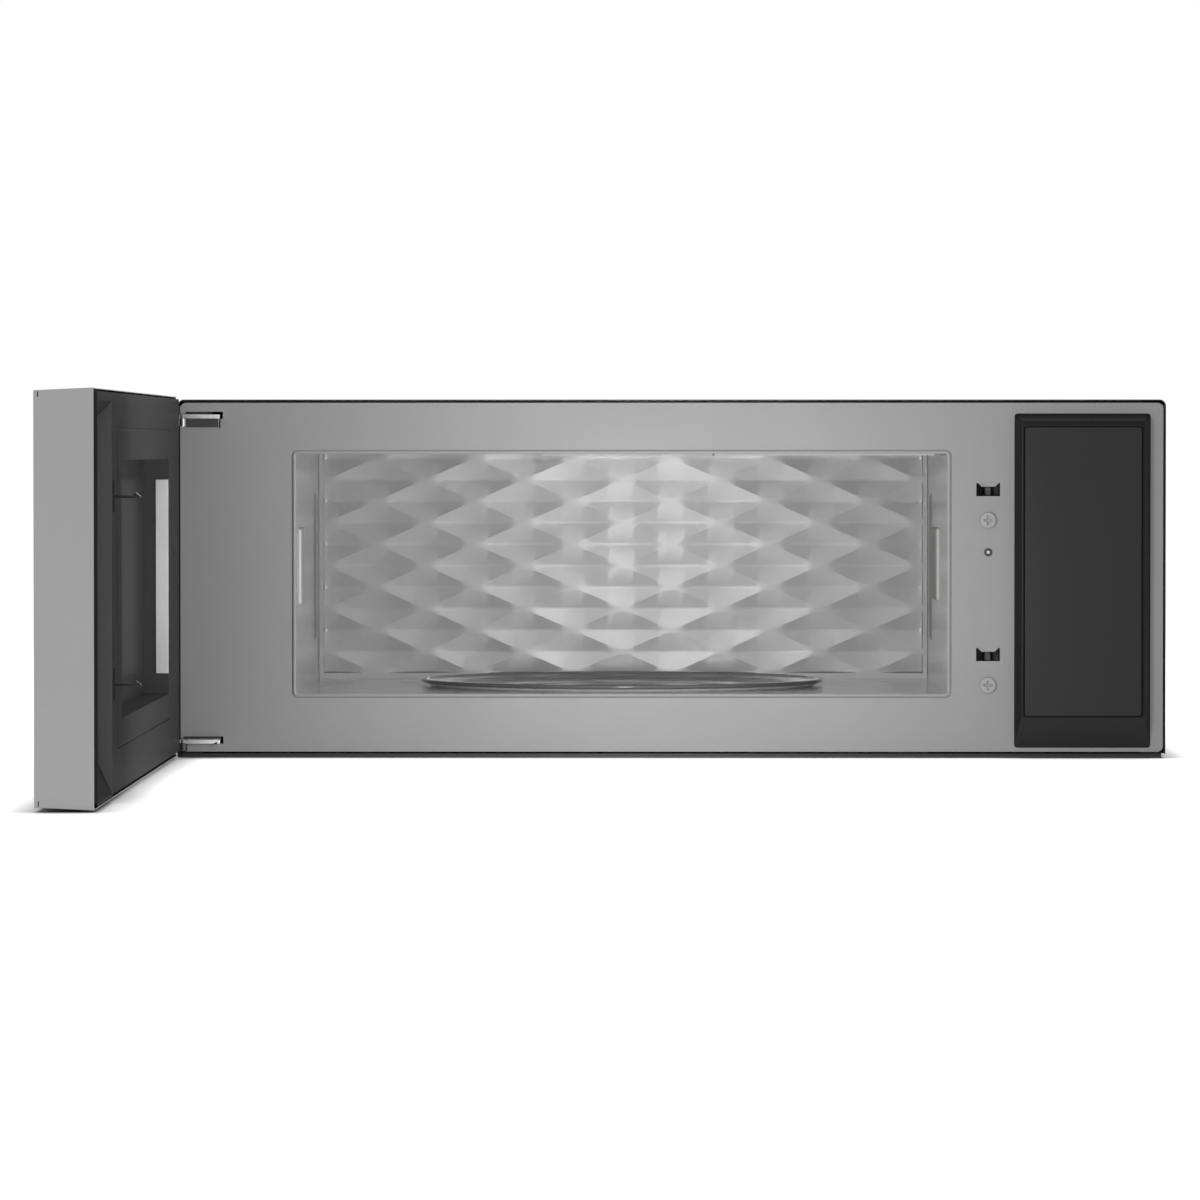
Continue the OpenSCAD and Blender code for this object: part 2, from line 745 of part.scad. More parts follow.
module cavity_lamp() color("#e8e4d4") {
    top = cav_z1 + wall_t;
    block(lamp_x - 32, lamp_x + 32, lamp_y - 20, lamp_y + 20, top, top + 14);
    rod_z(lamp_x, lamp_y, cav_z1 + 0.2, top, 10);
    rod_x(lamp_x + 32, lamp_x + 44, lamp_y, top + 7, 6);
}

module latch_bracket() color("#262626") {
    x0 = slot_x - slot_w / 2 - 3;
    x1 = slot_x + slot_w / 2 + 3;
    y1 = inner_front_y + bracket_deep;
    z0 = slot_z_lo - screw_drop - 12;
    z1 = slot_z_hi + slot_h / 2 + 6;
    difference() {
        block(x0, x1, inner_front_y, y1, z0, z1);
        for (z = slot_zs) {
            block(slot_x - slot_w / 2, slot_x + slot_w / 2, front_y - 1, y1 - 3,
                  z - slot_h / 2, z + slot_h / 2);
            rod_y(slot_x, z - screw_drop, front_y - 1, y1 - 4, latch_shank_r + 0.05);
        }
        rod_y(slot_x, plunger_z, front_y - 1, y1 + 1, sleeve_r + 1);
        for (z = [slot_z_lo + 36, plunger_z - 20])
            block(x0 + 4, x1 - 4, inner_front_y + 6, y1 + 1, z - 12, z + 12);
    }
    for (z = slot_zs)
        block(slot_x - 4.5, slot_x + 4.5, y1 - 9, y1 - 3, z + slot_h / 2 - 0.4, z + slot_h / 2);
}

module interlock_switches() color("#5b5b5b") {
    x0 = slot_x + slot_w / 2 + 3;
    for (z = [slot_z_lo - 10, slot_z_hi - 16, slot_z_lo + 14]) {
        block(x0, x0 + 6.4, inner_front_y + 6, inner_front_y + 26, z, z + 11);
        for (y = [9, 16, 22])
            block(x0 + 2.6, x0 + 3.4, inner_front_y + y, inner_front_y + y + 3, z - 5, z);
    }
}

module latch_screws() color("#b5b5b2") {
    cross_l = latch_head_r * 0.55;
    for (z = slot_zs)
        difference() {
            union() {
                rod_y(slot_x, z - screw_drop, front_y - 2.2, front_y, latch_head_r);
                rod_y(slot_x, z - screw_drop, front_y, inner_front_y + 14, latch_shank_r);
            }
            translate([slot_x - cross_l, front_y - 3, z - screw_drop - 0.7])
                cube([2 * cross_l, 2.2, 1.4]);
            translate([slot_x - 0.7, front_y - 3, z - screw_drop - cross_l])
                cube([1.4, 2.2, 2 * cross_l]);
        }
}

module plunger_sleeve() color("#181818") {
    translate([slot_x, front_y + sleeve_l, plunger_z])
        rotate([90, 0, 0])
            difference() {
                union() {
                    cylinder(r = sleeve_r, h = sleeve_l);
                    translate([0, 0, sleeve_l])
                        cylinder(r = sleeve_r + 0.5, h = 0.8);
                }
                translate([0, 0, -1])
                    cylinder(r = plunger_r + 0.08, h = sleeve_l + 3);
            }
}

module door_plunger() color("#e2e2df") {
    collar_y = front_y + sleeve_l + run_gap;
    rod_y(slot_x, plunger_z, front_y - plunger_out, collar_y + collar_t + plunger_travel + 7.6, plunger_r);
    rod_y(slot_x, plunger_z, collar_y, collar_y + collar_t, plunger_r + 0.9);
}

// Tapered housing that stands out of the face plate, with a long sloping lower end
module bay_wedge() {
    hull() {
        block(bay_x0, bay_x1, front_y - eps, front_y, bay_z, bay_z1);
        block(bay_flat_x0, bay_flat_x1, front_y - bay_proud, front_y - bay_proud + eps,
              bay_flat_z0, bay_flat_z1);
    }
}

module bay_housing() color("#222224") {
    wall = 2.5;
    difference() {
        union() {
            bay_wedge();
            block(bay_x0 + 1.4, bay_x1 - 1.4, front_y - 1, front_y + bay_back, bay_z + 1.4, bay_z1 - 1.4);
        }
        block(bay_flat_x0 + wall, bay_flat_x1 - wall, front_y - bay_proud + cover_t + wall,
              front_y + bay_back + 1, bay_flat_z0 + wall, bay_flat_z1 - wall);
        block(cover_x0 - run_gap, cover_x1 + run_gap, front_y - bay_proud - 1,
              front_y - bay_proud + cover_t, cover_z0 - run_gap, cover_z1 + run_gap);
    }
}

module bay_cover() color("#35363a")
    upright(cover_x0, cover_x1, front_y - bay_proud, front_y - bay_proud + cover_t, cover_z0, cover_z1, 2);

module control_board() color("#3f6b45") {
    y0 = front_y + bay_back + 5;
    block(bay_x0 + 6, bay_x1 - 4, y0, y0 + 1.6, bay_flat_z0 + 6, bay_z1 - 12);
    for (x = [bay_x0 + 10, bay_x1 - 8])
        for (z = [bay_flat_z0 + 12, bay_z1 - 18])
            rod_y(x, z, front_y + bay_back, y0, 3);
    block(bay_x0 + 14, bay_x0 + 50, y0 + 1.6, y0 + 30, bay_z1 - 60, bay_z1 - 24);
    for (i = [0 : 2])
        block(bay_x0 + 56, bay_x0 + 84, y0 + 1.6, y0 + 17, bay_z1 - 56 - i * 34, bay_z1 - 40 - i * 34);
    for (i = [0 : 3])
        rod_y(bay_x0 + 24 + i * 16, bay_flat_z0 + 40, y0 + 1.6, y0 + 20, 6);
}

// Bracket plate that comes through the face plate, with its leg behind it and its pin
module hinge_bracket(z, pin_z0, pin_z1, leg_z0, leg_z1) {
    end_r = hinge_y_out - 1.2;
    rod_z(hinge_x, hinge_y, z, z + bracket_t, end_r);
    block(hinge_x, bracket_x1, hinge_y - end_r, front_y - 0.2, z, z + bracket_t);
    block(hinge_x + 2.4, bracket_x1, front_y - 0.2, inner_front_y + 3, z, z + bracket_t);
    block(hinge_x + 2.4, bracket_x1, inner_front_y, inner_front_y + 3, leg_z0, leg_z1);
    rod_z(hinge_x, hinge_y, pin_z0, pin_z1, pin_r);
}

module hinge_bracket_upper() color("#d9dadc") {
    apron_y = hinge_y + 1.2;
    hinge_bracket(bracket_z_hi, bracket_z_hi - bush_l - 2 * run_gap, bracket_z_hi + eps,
                  bracket_z_hi - 30, bracket_z_hi + bracket_t);
    upright(hinge_x + bush_r + 1.2, bracket_x1 - 0.6, apron_y, apron_y + 1.5,
            bracket_z_hi - apron_h, bracket_z_hi + bracket_t, 1.4);
}

module hinge_bracket_lower() color("#d9dadc")
    hinge_bracket(bracket_z_lo, bracket_z_lo - bush_l - run_gap, bracket_z_lo + eps,
                  bracket_z_lo, bracket_z_lo + 34);

module case_screws() color("#9a9a98") {
    hole_in = flange_w / 2 + sheet_t;
    for (x = [left_x + hole_in, right_x - hole_in])
        for (z = case_screw_zs) {
            screw_sink(x, z, 0);
            rod_y(x, z, back_y - 8, back_y - sheet_t / 2, case_screw_r);
        }
}

module grease_filters() color("#a9abad") {
    border = 6;
    bars = 9;
    bar_pitch = filter_d / (bars + 1);
    for (x = filter_xs) {
        x0 = x - filter_w / 2;
        difference() {
            block(x0, x0 + filter_w, -filter_d / 2, filter_d / 2, sheet_t, sheet_t + filter_t);
            block(x0 + border, x0 + filter_w - border, -filter_d / 2 + border, filter_d / 2 - border,
                  sheet_t + filter_t - 1.5, sheet_t + filter_t + 1);
        }
        for (i = [1 : bars])
            block(x0 + border, x0 + filter_w - border, i * bar_pitch - filter_d / 2 - 1,
                  i * bar_pitch - filter_d / 2 + 1, sheet_t + filter_t - 1.5, sheet_t + filter_t);
    }
}

module cooktop_lens() color("#e6e9ea")
    block(-lens_w / 2, lens_w / 2, lens_y - lens_d / 2, lens_y + lens_d / 2, sheet_t, sheet_t + 2);

module cooktop_lamp() color("#d6d6c8") {
    z0 = sheet_t + 2;
    difference() {
        block(-lens_w / 2, lens_w / 2, lens_y - lens_d / 2, lens_y + lens_d / 2, z0, z0 + 14);
        block(-lens_w / 2 + 3, lens_w / 2 - 3, lens_y - lens_d / 2 + 3, lens_y + lens_d / 2 - 3,
              z0 - 1, z0 + 11);
    }
    for (x = [-24, 0, 24])
        rod_z(x, lens_y, z0 + 8, z0 + 11, 4);
}

module charcoal_filter() color("#2e2e2e") {
    z0 = cav_z1 + wall_t;
    x1 = cav_x1 - 20.7;
    block(x1 - charcoal_w, x1, front_y + 20, front_y + 20 + charcoal_d, z0, body_h - sheet_t - 12);
}

module magnetron() color("#9fa3a6") {
    x0 = service_x0 + guide_deep;
    y = guide_y;
    z = guide_z + 8;
    x1 = x0 + 12;
    x2 = x1 + tube_w;
    x3 = x2 + 9;
    fins = 8;
    pitch = tube_w * 0.9 / fins;
    block(x0, x0 + 3, y - tube_d / 2 - 14, y + tube_d / 2 + 14, z - tube_h / 2 - 8, z + tube_h / 2 + 12);
    for (x = [x0 + 3, x2])
        block(x, x + 9, y - tube_d / 2 + 2, y + tube_d / 2 - 2, z - tube_h / 2 + 2, z + tube_h / 2 - 2);
    rod_x(x1, x2, y, z, anode_r);
    for (i = [0 : fins - 1])
        block(x1 + 2 + i * pitch, x1 + 2.8 + i * pitch, y - tube_d / 2, y + tube_d / 2,
              z - tube_h / 2, z + tube_h / 2);
    for (side = [y - tube_d / 2 - 2, y + tube_d / 2])
        block(x0 + 3, x3, side, side + 2, z - tube_h / 2, z + tube_h / 2);
    block(x3, x3 + 27, y - tube_d / 2 + 6, y + tube_d / 2 - 6, z - tube_h / 2 + 8, z + tube_h / 2 - 8);
    rod_x(x0 - 24, x0, y, z, 7);
}
module waveguide() color("#b4b7b9") {
    t = 1.2;
    x0 = service_x0;
    x1 = service_x0 + guide_deep;
    y0 = guide_y - guide_w / 2 - 2;
    y1 = guide_y + guide_w / 2 + 2;
    z0 = guide_z - guide_h / 2 - 2;
    z1 = guide_z + guide_h / 2 + guide_rise;
    difference() {
        block(x0, x1, y0, y1, z0, z1);
        block(x0 + t, x1 - t, y0 + t, y1 - t, z0 + t, z1 - t);
        block(x0 - 1, x0 + t + 1, guide_y - guide_w / 2, guide_y + guide_w / 2,
              guide_z - guide_h / 2, guide_z + guide_h / 2);
        rod_x(x1 - t - 1, x1 + 1, guide_y, guide_z + 8, 7.4);
    }
}

module transformer() color("#7c6a54") {
    x0 = service_x0 + 14;
    y0 = front_y + 64;
    z0 = sheet_t;
    coil_x0 = x0 + (core_w - coil_w) / 2;
    block(x0, x0 + core_w, y0, y0 + core_d, z0 + 2, z0 + 2 + core_h);
    for (y = [y0 - coil_out, y0 + core_d])
        block(coil_x0, coil_x0 + coil_w, y, y + coil_out, z0 + 16, z0 + core_h - 12);
    block(x0 - 4, x0 + core_w + 4, y0 - 2, y0 + core_d + 2, z0, z0 + 2);
}

module capacitor() color("#a9acb0") {
    x = service_x0 + 60;
    y = front_y + 64 + core_d + coil_out + 42;
    z1 = sheet_t + cap_h;
    block(x - cap_w / 2, x + cap_w / 2, y - cap_r, y + cap_r, sheet_t, z1);
    for (end = [x - cap_w / 2, x + cap_w / 2])
        rod_z(end, y, sheet_t, z1, cap_r);
    for (i = [-12, 12])
        block(x + i - 3, x + i + 3, y - 0.5, y + 0.5, z1, z1 + 12);
}

module fan_shroud() color("#c9c9c4") {
    z0 = fan_z - fan_r - 12;
    z1 = fan_z + fan_r + 12;
    difference() {
        union() {
            block(service_x0, service_x1, fan_y - 11, fan_y - 9, z0, z1);
            rod_y(fan_x, fan_z, fan_y - 11, fan_y + 11, fan_r + 5);
        }
        rod_y(fan_x, fan_z, fan_y - 12, fan_y + 12, fan_r + 3);
    }
    for (a = [45, 135, 225, 315])
        translate([fan_x, 0, fan_z])
            rotate([0, a, 0])
                block(fan_r + 3.5, fan_r + 10, fan_y + 6, motor_y + 6, -2, 2);
    for (x = [fan_x - 44, fan_x + 40])
        block(x, x + 4, motor_y, motor_y + 6, fan_z - 52, fan_z + 52);
}
module fan_motor() color("#8a7f6d") {
    difference() {
        union() {
            block(fan_x - 40, fan_x + 40, motor_y, motor_y + 18, fan_z - 24, fan_z + 24);
            rod_y(fan_x, fan_z, motor_y - 4, motor_y, 10);
            block(fan_x - 16, fan_x + 16, motor_y - 2, motor_y + 22, fan_z - 46, fan_z - 24);
        }
        rod_y(fan_x, fan_z, motor_y - 6, motor_y + 14, 2.55);
    }
}

module cooling_fan() color("#e8e8e4") {
    rod_y(fan_x, fan_z, fan_y - 8, motor_y + 13, 2.5);
    rod_y(fan_x, fan_z, fan_y - 9, fan_y + 9, 14);
    for (i = [0 : fan_blades - 1])
        translate([fan_x, fan_y, fan_z])
            rotate([0, i * 360 / fan_blades, 0])
                rotate([28, 0, 0])
                    translate([12, -0.9, -15])
                        cube([fan_r - 12 - 2, 1.8, 30]);
}

module blower_motor() color("#7e8388") {
    x0 = blower_mid - motor_half;
    x1 = blower_mid + motor_half;
    difference() {
        union() {
            rod_x(x0, x1, rear_y, blower_z, wheel_r + 3);
            block(x0 + 4, x1 - 4, rear_y - 26, back_y - sheet_t,
                  blower_z - wheel_r - 9, blower_z - wheel_r - 1);
        }
        rod_x(x0 - 1, x1 + 1, rear_y, blower_z, shaft_r + 0.05);
    }
}
// Housing round one blower wheel, open at the top
module blower_shell(x0, x1) {
    r_in = wheel_r + 2.5;
    t = 1;
    difference() {
        union() {
            rod_x(x0, x1, rear_y, blower_z, r_in + t);
            block(x0, x1, rear_y, rear_y + r_in + t, blower_z, body_h - sheet_t - 6);
        }
        rod_x(x0 + t, x1 - t, rear_y, blower_z, r_in);
        block(x0 + t, x1 - t, rear_y + 8, rear_y + r_in, blower_z, body_h);
        rod_x(x0 - 1, x1 + 1, rear_y, blower_z, wheel_r - 6);
    }
}

module blower_housings() color("#b9bbb9") {
    shell_l = wheel_l + 8;
    blower_shell(blower_mid - motor_half - 1 - shell_l, blower_mid - motor_half - 1);
    blower_shell(blower_mid + motor_half + 1, blower_mid + motor_half + 1 + shell_l);
    for (x = [blower_mid - motor_half - shell_l, blower_mid + motor_half + shell_l - 8])
        block(x, x + 8, rear_y + wheel_r + 3, back_y - sheet_t, blower_z - 6, blower_z + 6);
}

module blower_wheel(x0, x1) {
    ring = 4;
    difference() {
        union() {
            rod_x(x0, x0 + 3, rear_y, blower_z, wheel_r);
            rod_x(x1 - 3, x1, rear_y, blower_z, wheel_r);
        }
        rod_x(x0 - 1, x1 + 1, rear_y, blower_z, wheel_r - ring);
    }
    for (i = [0 : wheel_blades - 1])
        translate([x0 + 1, rear_y, blower_z])
            rotate([i * 360 / wheel_blades, 0, 0])
                translate([0, wheel_r - ring + 0.2, -0.5])
                    cube([x1 - x0 - 2, ring - 0.6, 1]);
}

module blower_wheels() color("#d5d5d2") {
    gap = 5;
    x_l = blower_mid - motor_half - gap;
    x_r = blower_mid + motor_half + gap;
    rod_x(x_l - wheel_l - 2, x_r + wheel_l + 2, rear_y, blower_z, shaft_r);
    blower_wheel(x_l - wheel_l, x_l);
    blower_wheel(x_r, x_r + wheel_l);
    for (x = [x_l - wheel_l, x_r + wheel_l - 3])
        difference() {
            rod_x(x, x + 3, rear_y, blower_z, wheel_r - 3.5);
            for (a = [0, 90, 180, 270])
                translate([x - 1, rear_y, blower_z])
                    rotate([a + 45, 0, 0])
                        translate([0, 9.5, 0])
                            rotate([0, 90, 0])
                                cylinder(r = 4, h = 5);
        }
}

module turntable_motor() color("#b7b9bb") {
    top = well_z - wall_t;
    difference() {
        union() {
            rod_z(cav_cx, tray_y, top - 20, top, 25);
            block(cav_cx - 34, cav_cx + 34, tray_y - 8, tray_y + 8, top - 1.2, top);
        }
        rod_z(cav_cx, tray_y, top - 16, top + 1, drive_r + 0.05);
    }
}

module cord_gland() color("#151515") {
    x = service_x1 - 40;
    y = back_y - 40;
    difference() {
        union() {
            rod_z(x, y, body_h - sheet_t - 8, body_h, gland_r);
            rod_z(x, y, body_h, body_h + 1.2, gland_r + 3);
            rod_z(x, y, body_h - sheet_t - 3, body_h - sheet_t, gland_r + 2);
        }
        rod_z(x, y, body_h - 12, body_h + 3, 4);
    }
}

module thermal_cutouts() color("#c4b48a") {
    z0 = cav_z1 + wall_t;
    for (p = [[cav_x0 + cutout_in, tray_y], [cav_x1 - cutout_in / 1.5, tray_y + 1.5 * cutout_in]]) {
        rod_z(p[0], p[1], z0, z0 + 5, 8);
        rod_z(p[0], p[1], z0 + 5, z0 + 10, 6);
        block(p[0] - 12, p[0] + 12, p[1] - 4, p[1] + 4, z0, z0 + 1);
    }
}

module turntable_tray() color("#4a5154", 0.6) {
    slope_r = tray_flat_r + 2;
    step_r = tray_flat_r + 11.5;
    step_z = tray_t + 0.9;
    translate([cav_cx, tray_y, tray_z])
        rotate_extrude($fn = 96)
            polygon([
                [0, 0],
                [slope_r, 0],
                [step_r, step_z],
                [tray_r, tray_rim_h - 2.5],
                [tray_r, tray_rim_h],
                [tray_r - 3, tray_rim_h],
                [step_r - 3.5, step_z + 2.7],
                [tray_flat_r, tray_t],
                [0, tray_t]
            ]);
}

module drive_coupler() color("#e8e8e2") {
    z0 = well_z + 1.2;
    rod_z(cav_cx, tray_y, well_z - wall_t - 14, z0 + 1, drive_r);
    rod_z(cav_cx, tray_y, z0, tray_z, 8);
    for (a = [0, 120, 240])
        translate([cav_cx, tray_y, z0 + 2])
            rotate([0, 0, a])
                translate([0, -4, 0])
                    cube([coupler_r, 8, tray_z - z0 - 2]);
}

// Ring with three short axles that point outwards and carry the rollers
module roller_ring() color("#dededa") {
    head_x = roller_x0 + roller_l + run_gap;
    axle_z0 = axle_z - ring_h / 2;
    translate([cav_cx, tray_y, 0]) {
        difference() {
            rod_z(0, 0, axle_z0, axle_z0 + ring_h, ring_r + ring_w / 2);
            rod_z(0, 0, axle_z0 - 1, axle_z0 + ring_h + 1, ring_r - ring_w / 2);
        }
        for (a = roller_angles)
            rotate([0, 0, a]) {
                rod_x(ring_r, head_x + axle_head_l, 0, axle_z, axle_r);
                rod_x(head_x, head_x + axle_head_l, 0, axle_z, axle_r + 0.9);
            }
    }
}
module roller(a) {
    translate([cav_cx, tray_y, 0])
        rotate([0, 0, a])
            difference() {
                rod_x(roller_x0, roller_x0 + roller_l, 0, axle_z, roller_r);
                rod_x(roller_x0 - 1, roller_x0 + roller_l + 1, 0, axle_z, axle_r + 0.1);
            }
}
module roller_1() color("#f0f0ec") roller(roller_angles[0]);
module roller_2() color("#f0f0ec") roller(roller_angles[1]);
module roller_3() color("#f0f0ec") roller(roller_angles[2]);

// Cross-section of the door's long sides, seen along its width, grown inwards by an inset
module door_section(inset) {
    polygon([
        [door_in_y - skin_u0 + (inset > 0 ? 1 : 0), door_z_lo - door_draft + inset],
        [door_in_y - door_t + inset, door_z_lo + inset],
        [door_in_y - door_t + inset, door_z_hi - inset],
        [door_in_y - skin_u0 + (inset > 0 ? 1 : 0), door_z_hi + door_draft - inset]
    ]);
}

module door_prism(x0, x1, inset) {
    translate([x0, 0, 0])
        rotate([90, 0, 90])
            linear_extrude(x1 - x0)
                door_section(inset);
}

module door_skin() color("#b4b4b1") swing() {
    difference() {
        union() {
            difference() {
                door_prism(door_x0, door_x1, 0);
                door_prism(door_x0 + skin_t, door_x1 - skin_t, skin_t);
            }
            door_upright(glass_x0 - skin_t, glass_x1 + skin_t, glass_u - skin_t, door_t - eps,
                         glass_z0 - skin_t, glass_z1 + skin_t, 4);
        }
        door_upright(glass_x0, glass_x1, glass_u, door_t + 1, glass_z0, glass_z1, 3);
        door_block(glass_x0 + ledge_w, glass_x1 - ledge_w, glass_u - skin_t - 1, glass_u + 1,
                   glass_z0 + ledge_w, glass_z1 - ledge_w);
    }
}

module front_glass() color("#0e0f11") swing()
    door_upright(glass_x0 + glass_gap, glass_x1 - glass_gap, glass_u, door_t,
                 glass_z0 + glass_gap, glass_z1 - glass_gap, 3);

module touch_board() color("#2f5d3a") swing() {
    board_u1 = glass_u - 1.4;
    board_x1 = glass_x1 - ledge_w - 8;
    board_x0 = board_x1 - board_w;
    mid = (board_x0 + board_x1) / 2;
    door_block(board_x0, board_x1, board_u1 - 1.6, board_u1, glass_z0 + 24, glass_z1 - 24);
    door_block(mid - 34, mid + 34, board_u1, glass_u, glass_z1 - 62, glass_z1 - 36);
    door_block(mid - 26, mid + 26, board_u1, glass_u, glass_z0 + 36, glass_z1 - 76);
    door_block(mid - 18, mid + 18, board_u1 - 8, board_u1 - 1.6, glass_z0 + 40, glass_z0 + 52);
}

module door_frame() color("#8d8f90") swing() {
    out_x0 = door_x0 + skin_t + 6;
    out_x1 = door_x1 - skin_t - 6;
    out_z0 = door_z_lo + 8;
    out_z1 = door_z_hi - 8;
    collar_u1 = glass_u - skin_t;
    col = 14;
    choke = 26;
    difference() {
        union() {
            door_block(out_x0, out_x1, frame_u, frame_u + frame_t, out_z0, out_z1);
            door_block(win_x0 - col, win_x1 + col, frame_u, collar_u1, window_z0 - col, window_z1 + col);
            door_block(win_x0 - choke, win_x1 + choke, liner_t + 4, frame_u,
                       window_z0 - choke, window_z1 + choke);
            for (x = [glass_x0 + 2, glass_x1 - 8])
                door_block(x, x + 6, frame_u, collar_u1, glass_z0 + 20, glass_z1 - 20);
        }
        door_block(win_x0 - col + frame_t, win_x1 + col - frame_t, frame_u + frame_t, collar_u1 + 1,
                   window_z0 - col + frame_t, window_z1 + col - frame_t);
        door_block(win_x0 - choke + frame_t, win_x1 + choke - frame_t, liner_t + 3, frame_u,
                   window_z0 - choke + frame_t, window_z1 + choke - frame_t);
        door_block(win_x0, win_x1, frame_u - 1, frame_u + frame_t + 1, window_z0, window_z1);
    }
}

module window_screen() color("#1a1a1a") swing()
    door_block(win_x0 - lip, win_x1 + lip, frame_u + frame_t, frame_u + frame_t + screen_t,
               window_z0 - lip, window_z1 + lip);

module inner_window() color("#22262a", 0.7) swing()
    door_block(win_x0 - lip, win_x1 + lip, inner_window_u, inner_window_u + inner_window_t,
               window_z0 - lip, window_z1 + lip);

// Hollow shape of the liner's pocket, with its sloping top and its long sloping lower end
module pocket_shape(grow) {
    deep = pocket_deep + grow;
    hull() {
        door_block(pocket_x0 - grow, pocket_x1 + grow, -eps - (grow > 0 ? -eps : 1), eps,
                   pocket_z0 - grow, pocket_z1 + grow);
        door_block(pocket_x0 - grow, pocket_x1 + grow, deep - eps, deep,
                   pocket_z0 + pocket_chin - grow, pocket_z1 - pocket_deep + grow);
    }
}

module door_liner() color("#3c3c3d") swing() {
    ring_x0 = win_x0 - 14;
    ring_x1 = win_x1 + 36;
    ring_z0 = window_z0 - 19.4;
    ring_z1 = window_z1 + 22;
    difference() {
        union() {
            door_upright(liner_x0, liner_x1, 0, liner_t, liner_z0, liner_z1, 3);
            door_upright(liner_x0 + run_gap, liner_x1 - run_gap, liner_t, liner_proud + 4,
                         liner_z0 + run_gap, liner_z1 - run_gap, 3);
            door_upright(win_x0 - liner_t, win_x1 + liner_t, 0, window_deep,
                         window_z0 - liner_t, window_z1 + liner_t, 4);
            pocket_shape(liner_t);
        }
        difference() {
            door_block(liner_x0 + liner_t, liner_x1 - liner_t, liner_t, liner_proud + 5,
                       liner_z0 + liner_t, liner_z1 - liner_t);
            door_block(win_x0 - liner_t, win_x1 + liner_t, 0, window_deep,
                       window_z0 - liner_t, window_z1 + liner_t);
            pocket_shape(liner_t);
        }
        door_upright(win_x0, win_x1, -1, window_deep + 1, window_z0, window_z1, 3);
        pocket_shape(0);
        for (z = slot_zs)
            door_block(slot_x - hook_slot_w / 2, slot_x + hook_slot_w / 2, -1, liner_t + 1,
                       z - hook_slot_h / 2 - 0.6, z + hook_slot_h / 2 - 0.6);
        difference() {
            door_block(ring_x0, ring_x1, -1, 0.8, ring_z0, ring_z1);
            door_block(ring_x0 + 1.6, ring_x1 - 1.6, -2, 2, ring_z0 + 1.6, ring_z1 - 1.6);
        }
        door_block(hinge_x - 5, hinge_x + bush_r + 0.6, -1, liner_proud + 5,
                   bracket_z_hi - bush_l - 1.2, bracket_z_hi + 0.6);
        door_block(hinge_x - 5, hinge_x + bush_r + 0.6, -1, liner_proud + 5,
                   liner_z0 - 1, bracket_z_lo + 0.6);
    }
    for (x = [win_x0, win_x1 - trim_t])
        door_block(x, x + trim_t, 0.4, 0.4 + trim_w, trim_z0, trim_z1);
    for (x = [slot_x - latch_bar_w / 2 - run_gap - rail_t, slot_x + latch_bar_w / 2 + run_gap])
        for (z = [slot_z_lo + hook_slot_h, slot_z_hi - hook_slot_h - rail_l])
            door_block(x, x + rail_t, liner_t, latch_bar_u + latch_bar_t, z, z + rail_l);
}
// Bush on the hinge pin with the strap that ties it to the door frame
module hinge_bush(z0) {
    strap_end = frame_u;
    difference() {
        union() {
            rod_z(hinge_x, hinge_y, z0, z0 + bush_l, bush_r);
            block(hinge_x - 0.2, hinge_x + 2.4, door_in_y - strap_end, hinge_y, z0, z0 + bush_l);
            block(hinge_x - 0.2, hinge_x + 12, door_in_y - strap_end, door_in_y - strap_end + 1.6,
                  z0, z0 + bush_l);
        }
        rod_z(hinge_x, hinge_y, z0 - 1, z0 + bush_l + 1, pin_r + pin_clear);
    }
}

module hinge_bushes() color("#c9cacc") swing() {
    hinge_bush(bracket_z_hi - run_gap - bush_l);
    hinge_bush(bracket_z_lo - run_gap - bush_l);
}

// Hook outline: an arm with a ramped barb that points up
module hook(z) {
    root_y = door_in_y - latch_bar_u - 1;
    tip_y = door_in_y + hook_reach;
    translate([slot_x - hook_t / 2, 0, z])
        rotate([90, 0, 90])
            linear_extrude(hook_t)
                polygon([
                    [root_y, -hook_down],
                    [tip_y, -hook_down],
                    [tip_y, 1.2 - hook_down],
                    [tip_y - 3.2, hook_up],
                    [tip_y - 4.6, hook_up],
                    [tip_y - 5.2, hook_arm_h - hook_down],
                    [root_y, hook_arm_h - hook_down]
                ]);
}

module latch_head() color("#4a4a4a") swing() {
    bar_z0 = slot_z_lo - 14;
    bar_z1 = slot_z_hi + 12;
    door_block(slot_x - latch_bar_w / 2, slot_x + latch_bar_w / 2,
               latch_bar_u, latch_bar_u + latch_bar_t, bar_z0, bar_z1);
    for (z = slot_zs)
        hook(z);
}

case_top();
case_left_side();
case_right_side();
back_panel();
base_pan();
face_plate();
cavity_left_wall();
cavity_right_wall();
cavity_ceiling();
cavity_floor();
floor_well();
cavity_back_wall();
cavity_vent_cover();
waveguide_cover();
lamp_cover();
stirrer_cover();
cavity_lamp();
latch_bracket();
interlock_switches();
latch_screws();
plunger_sleeve();
door_plunger();
bay_housing();
bay_cover();
control_board();
hinge_bracket_upper();
hinge_bracket_lower();
case_screws();
grease_filters();
cooktop_lamp();
cooktop_lens();
charcoal_filter();
magnetron();
waveguide();
transformer();
capacitor();
fan_motor();
fan_shroud();
cooling_fan();
blower_motor();
blower_housings();
blower_wheels();
turntable_motor();
cord_gland();
thermal_cutouts();
turntable_tray();
drive_coupler();
roller_ring();
roller_1();
roller_2();
roller_3();
door_skin();
front_glass();
touch_board();
door_frame();
door_liner();
window_screen();
inner_window();
hinge_bushes();
latch_head();
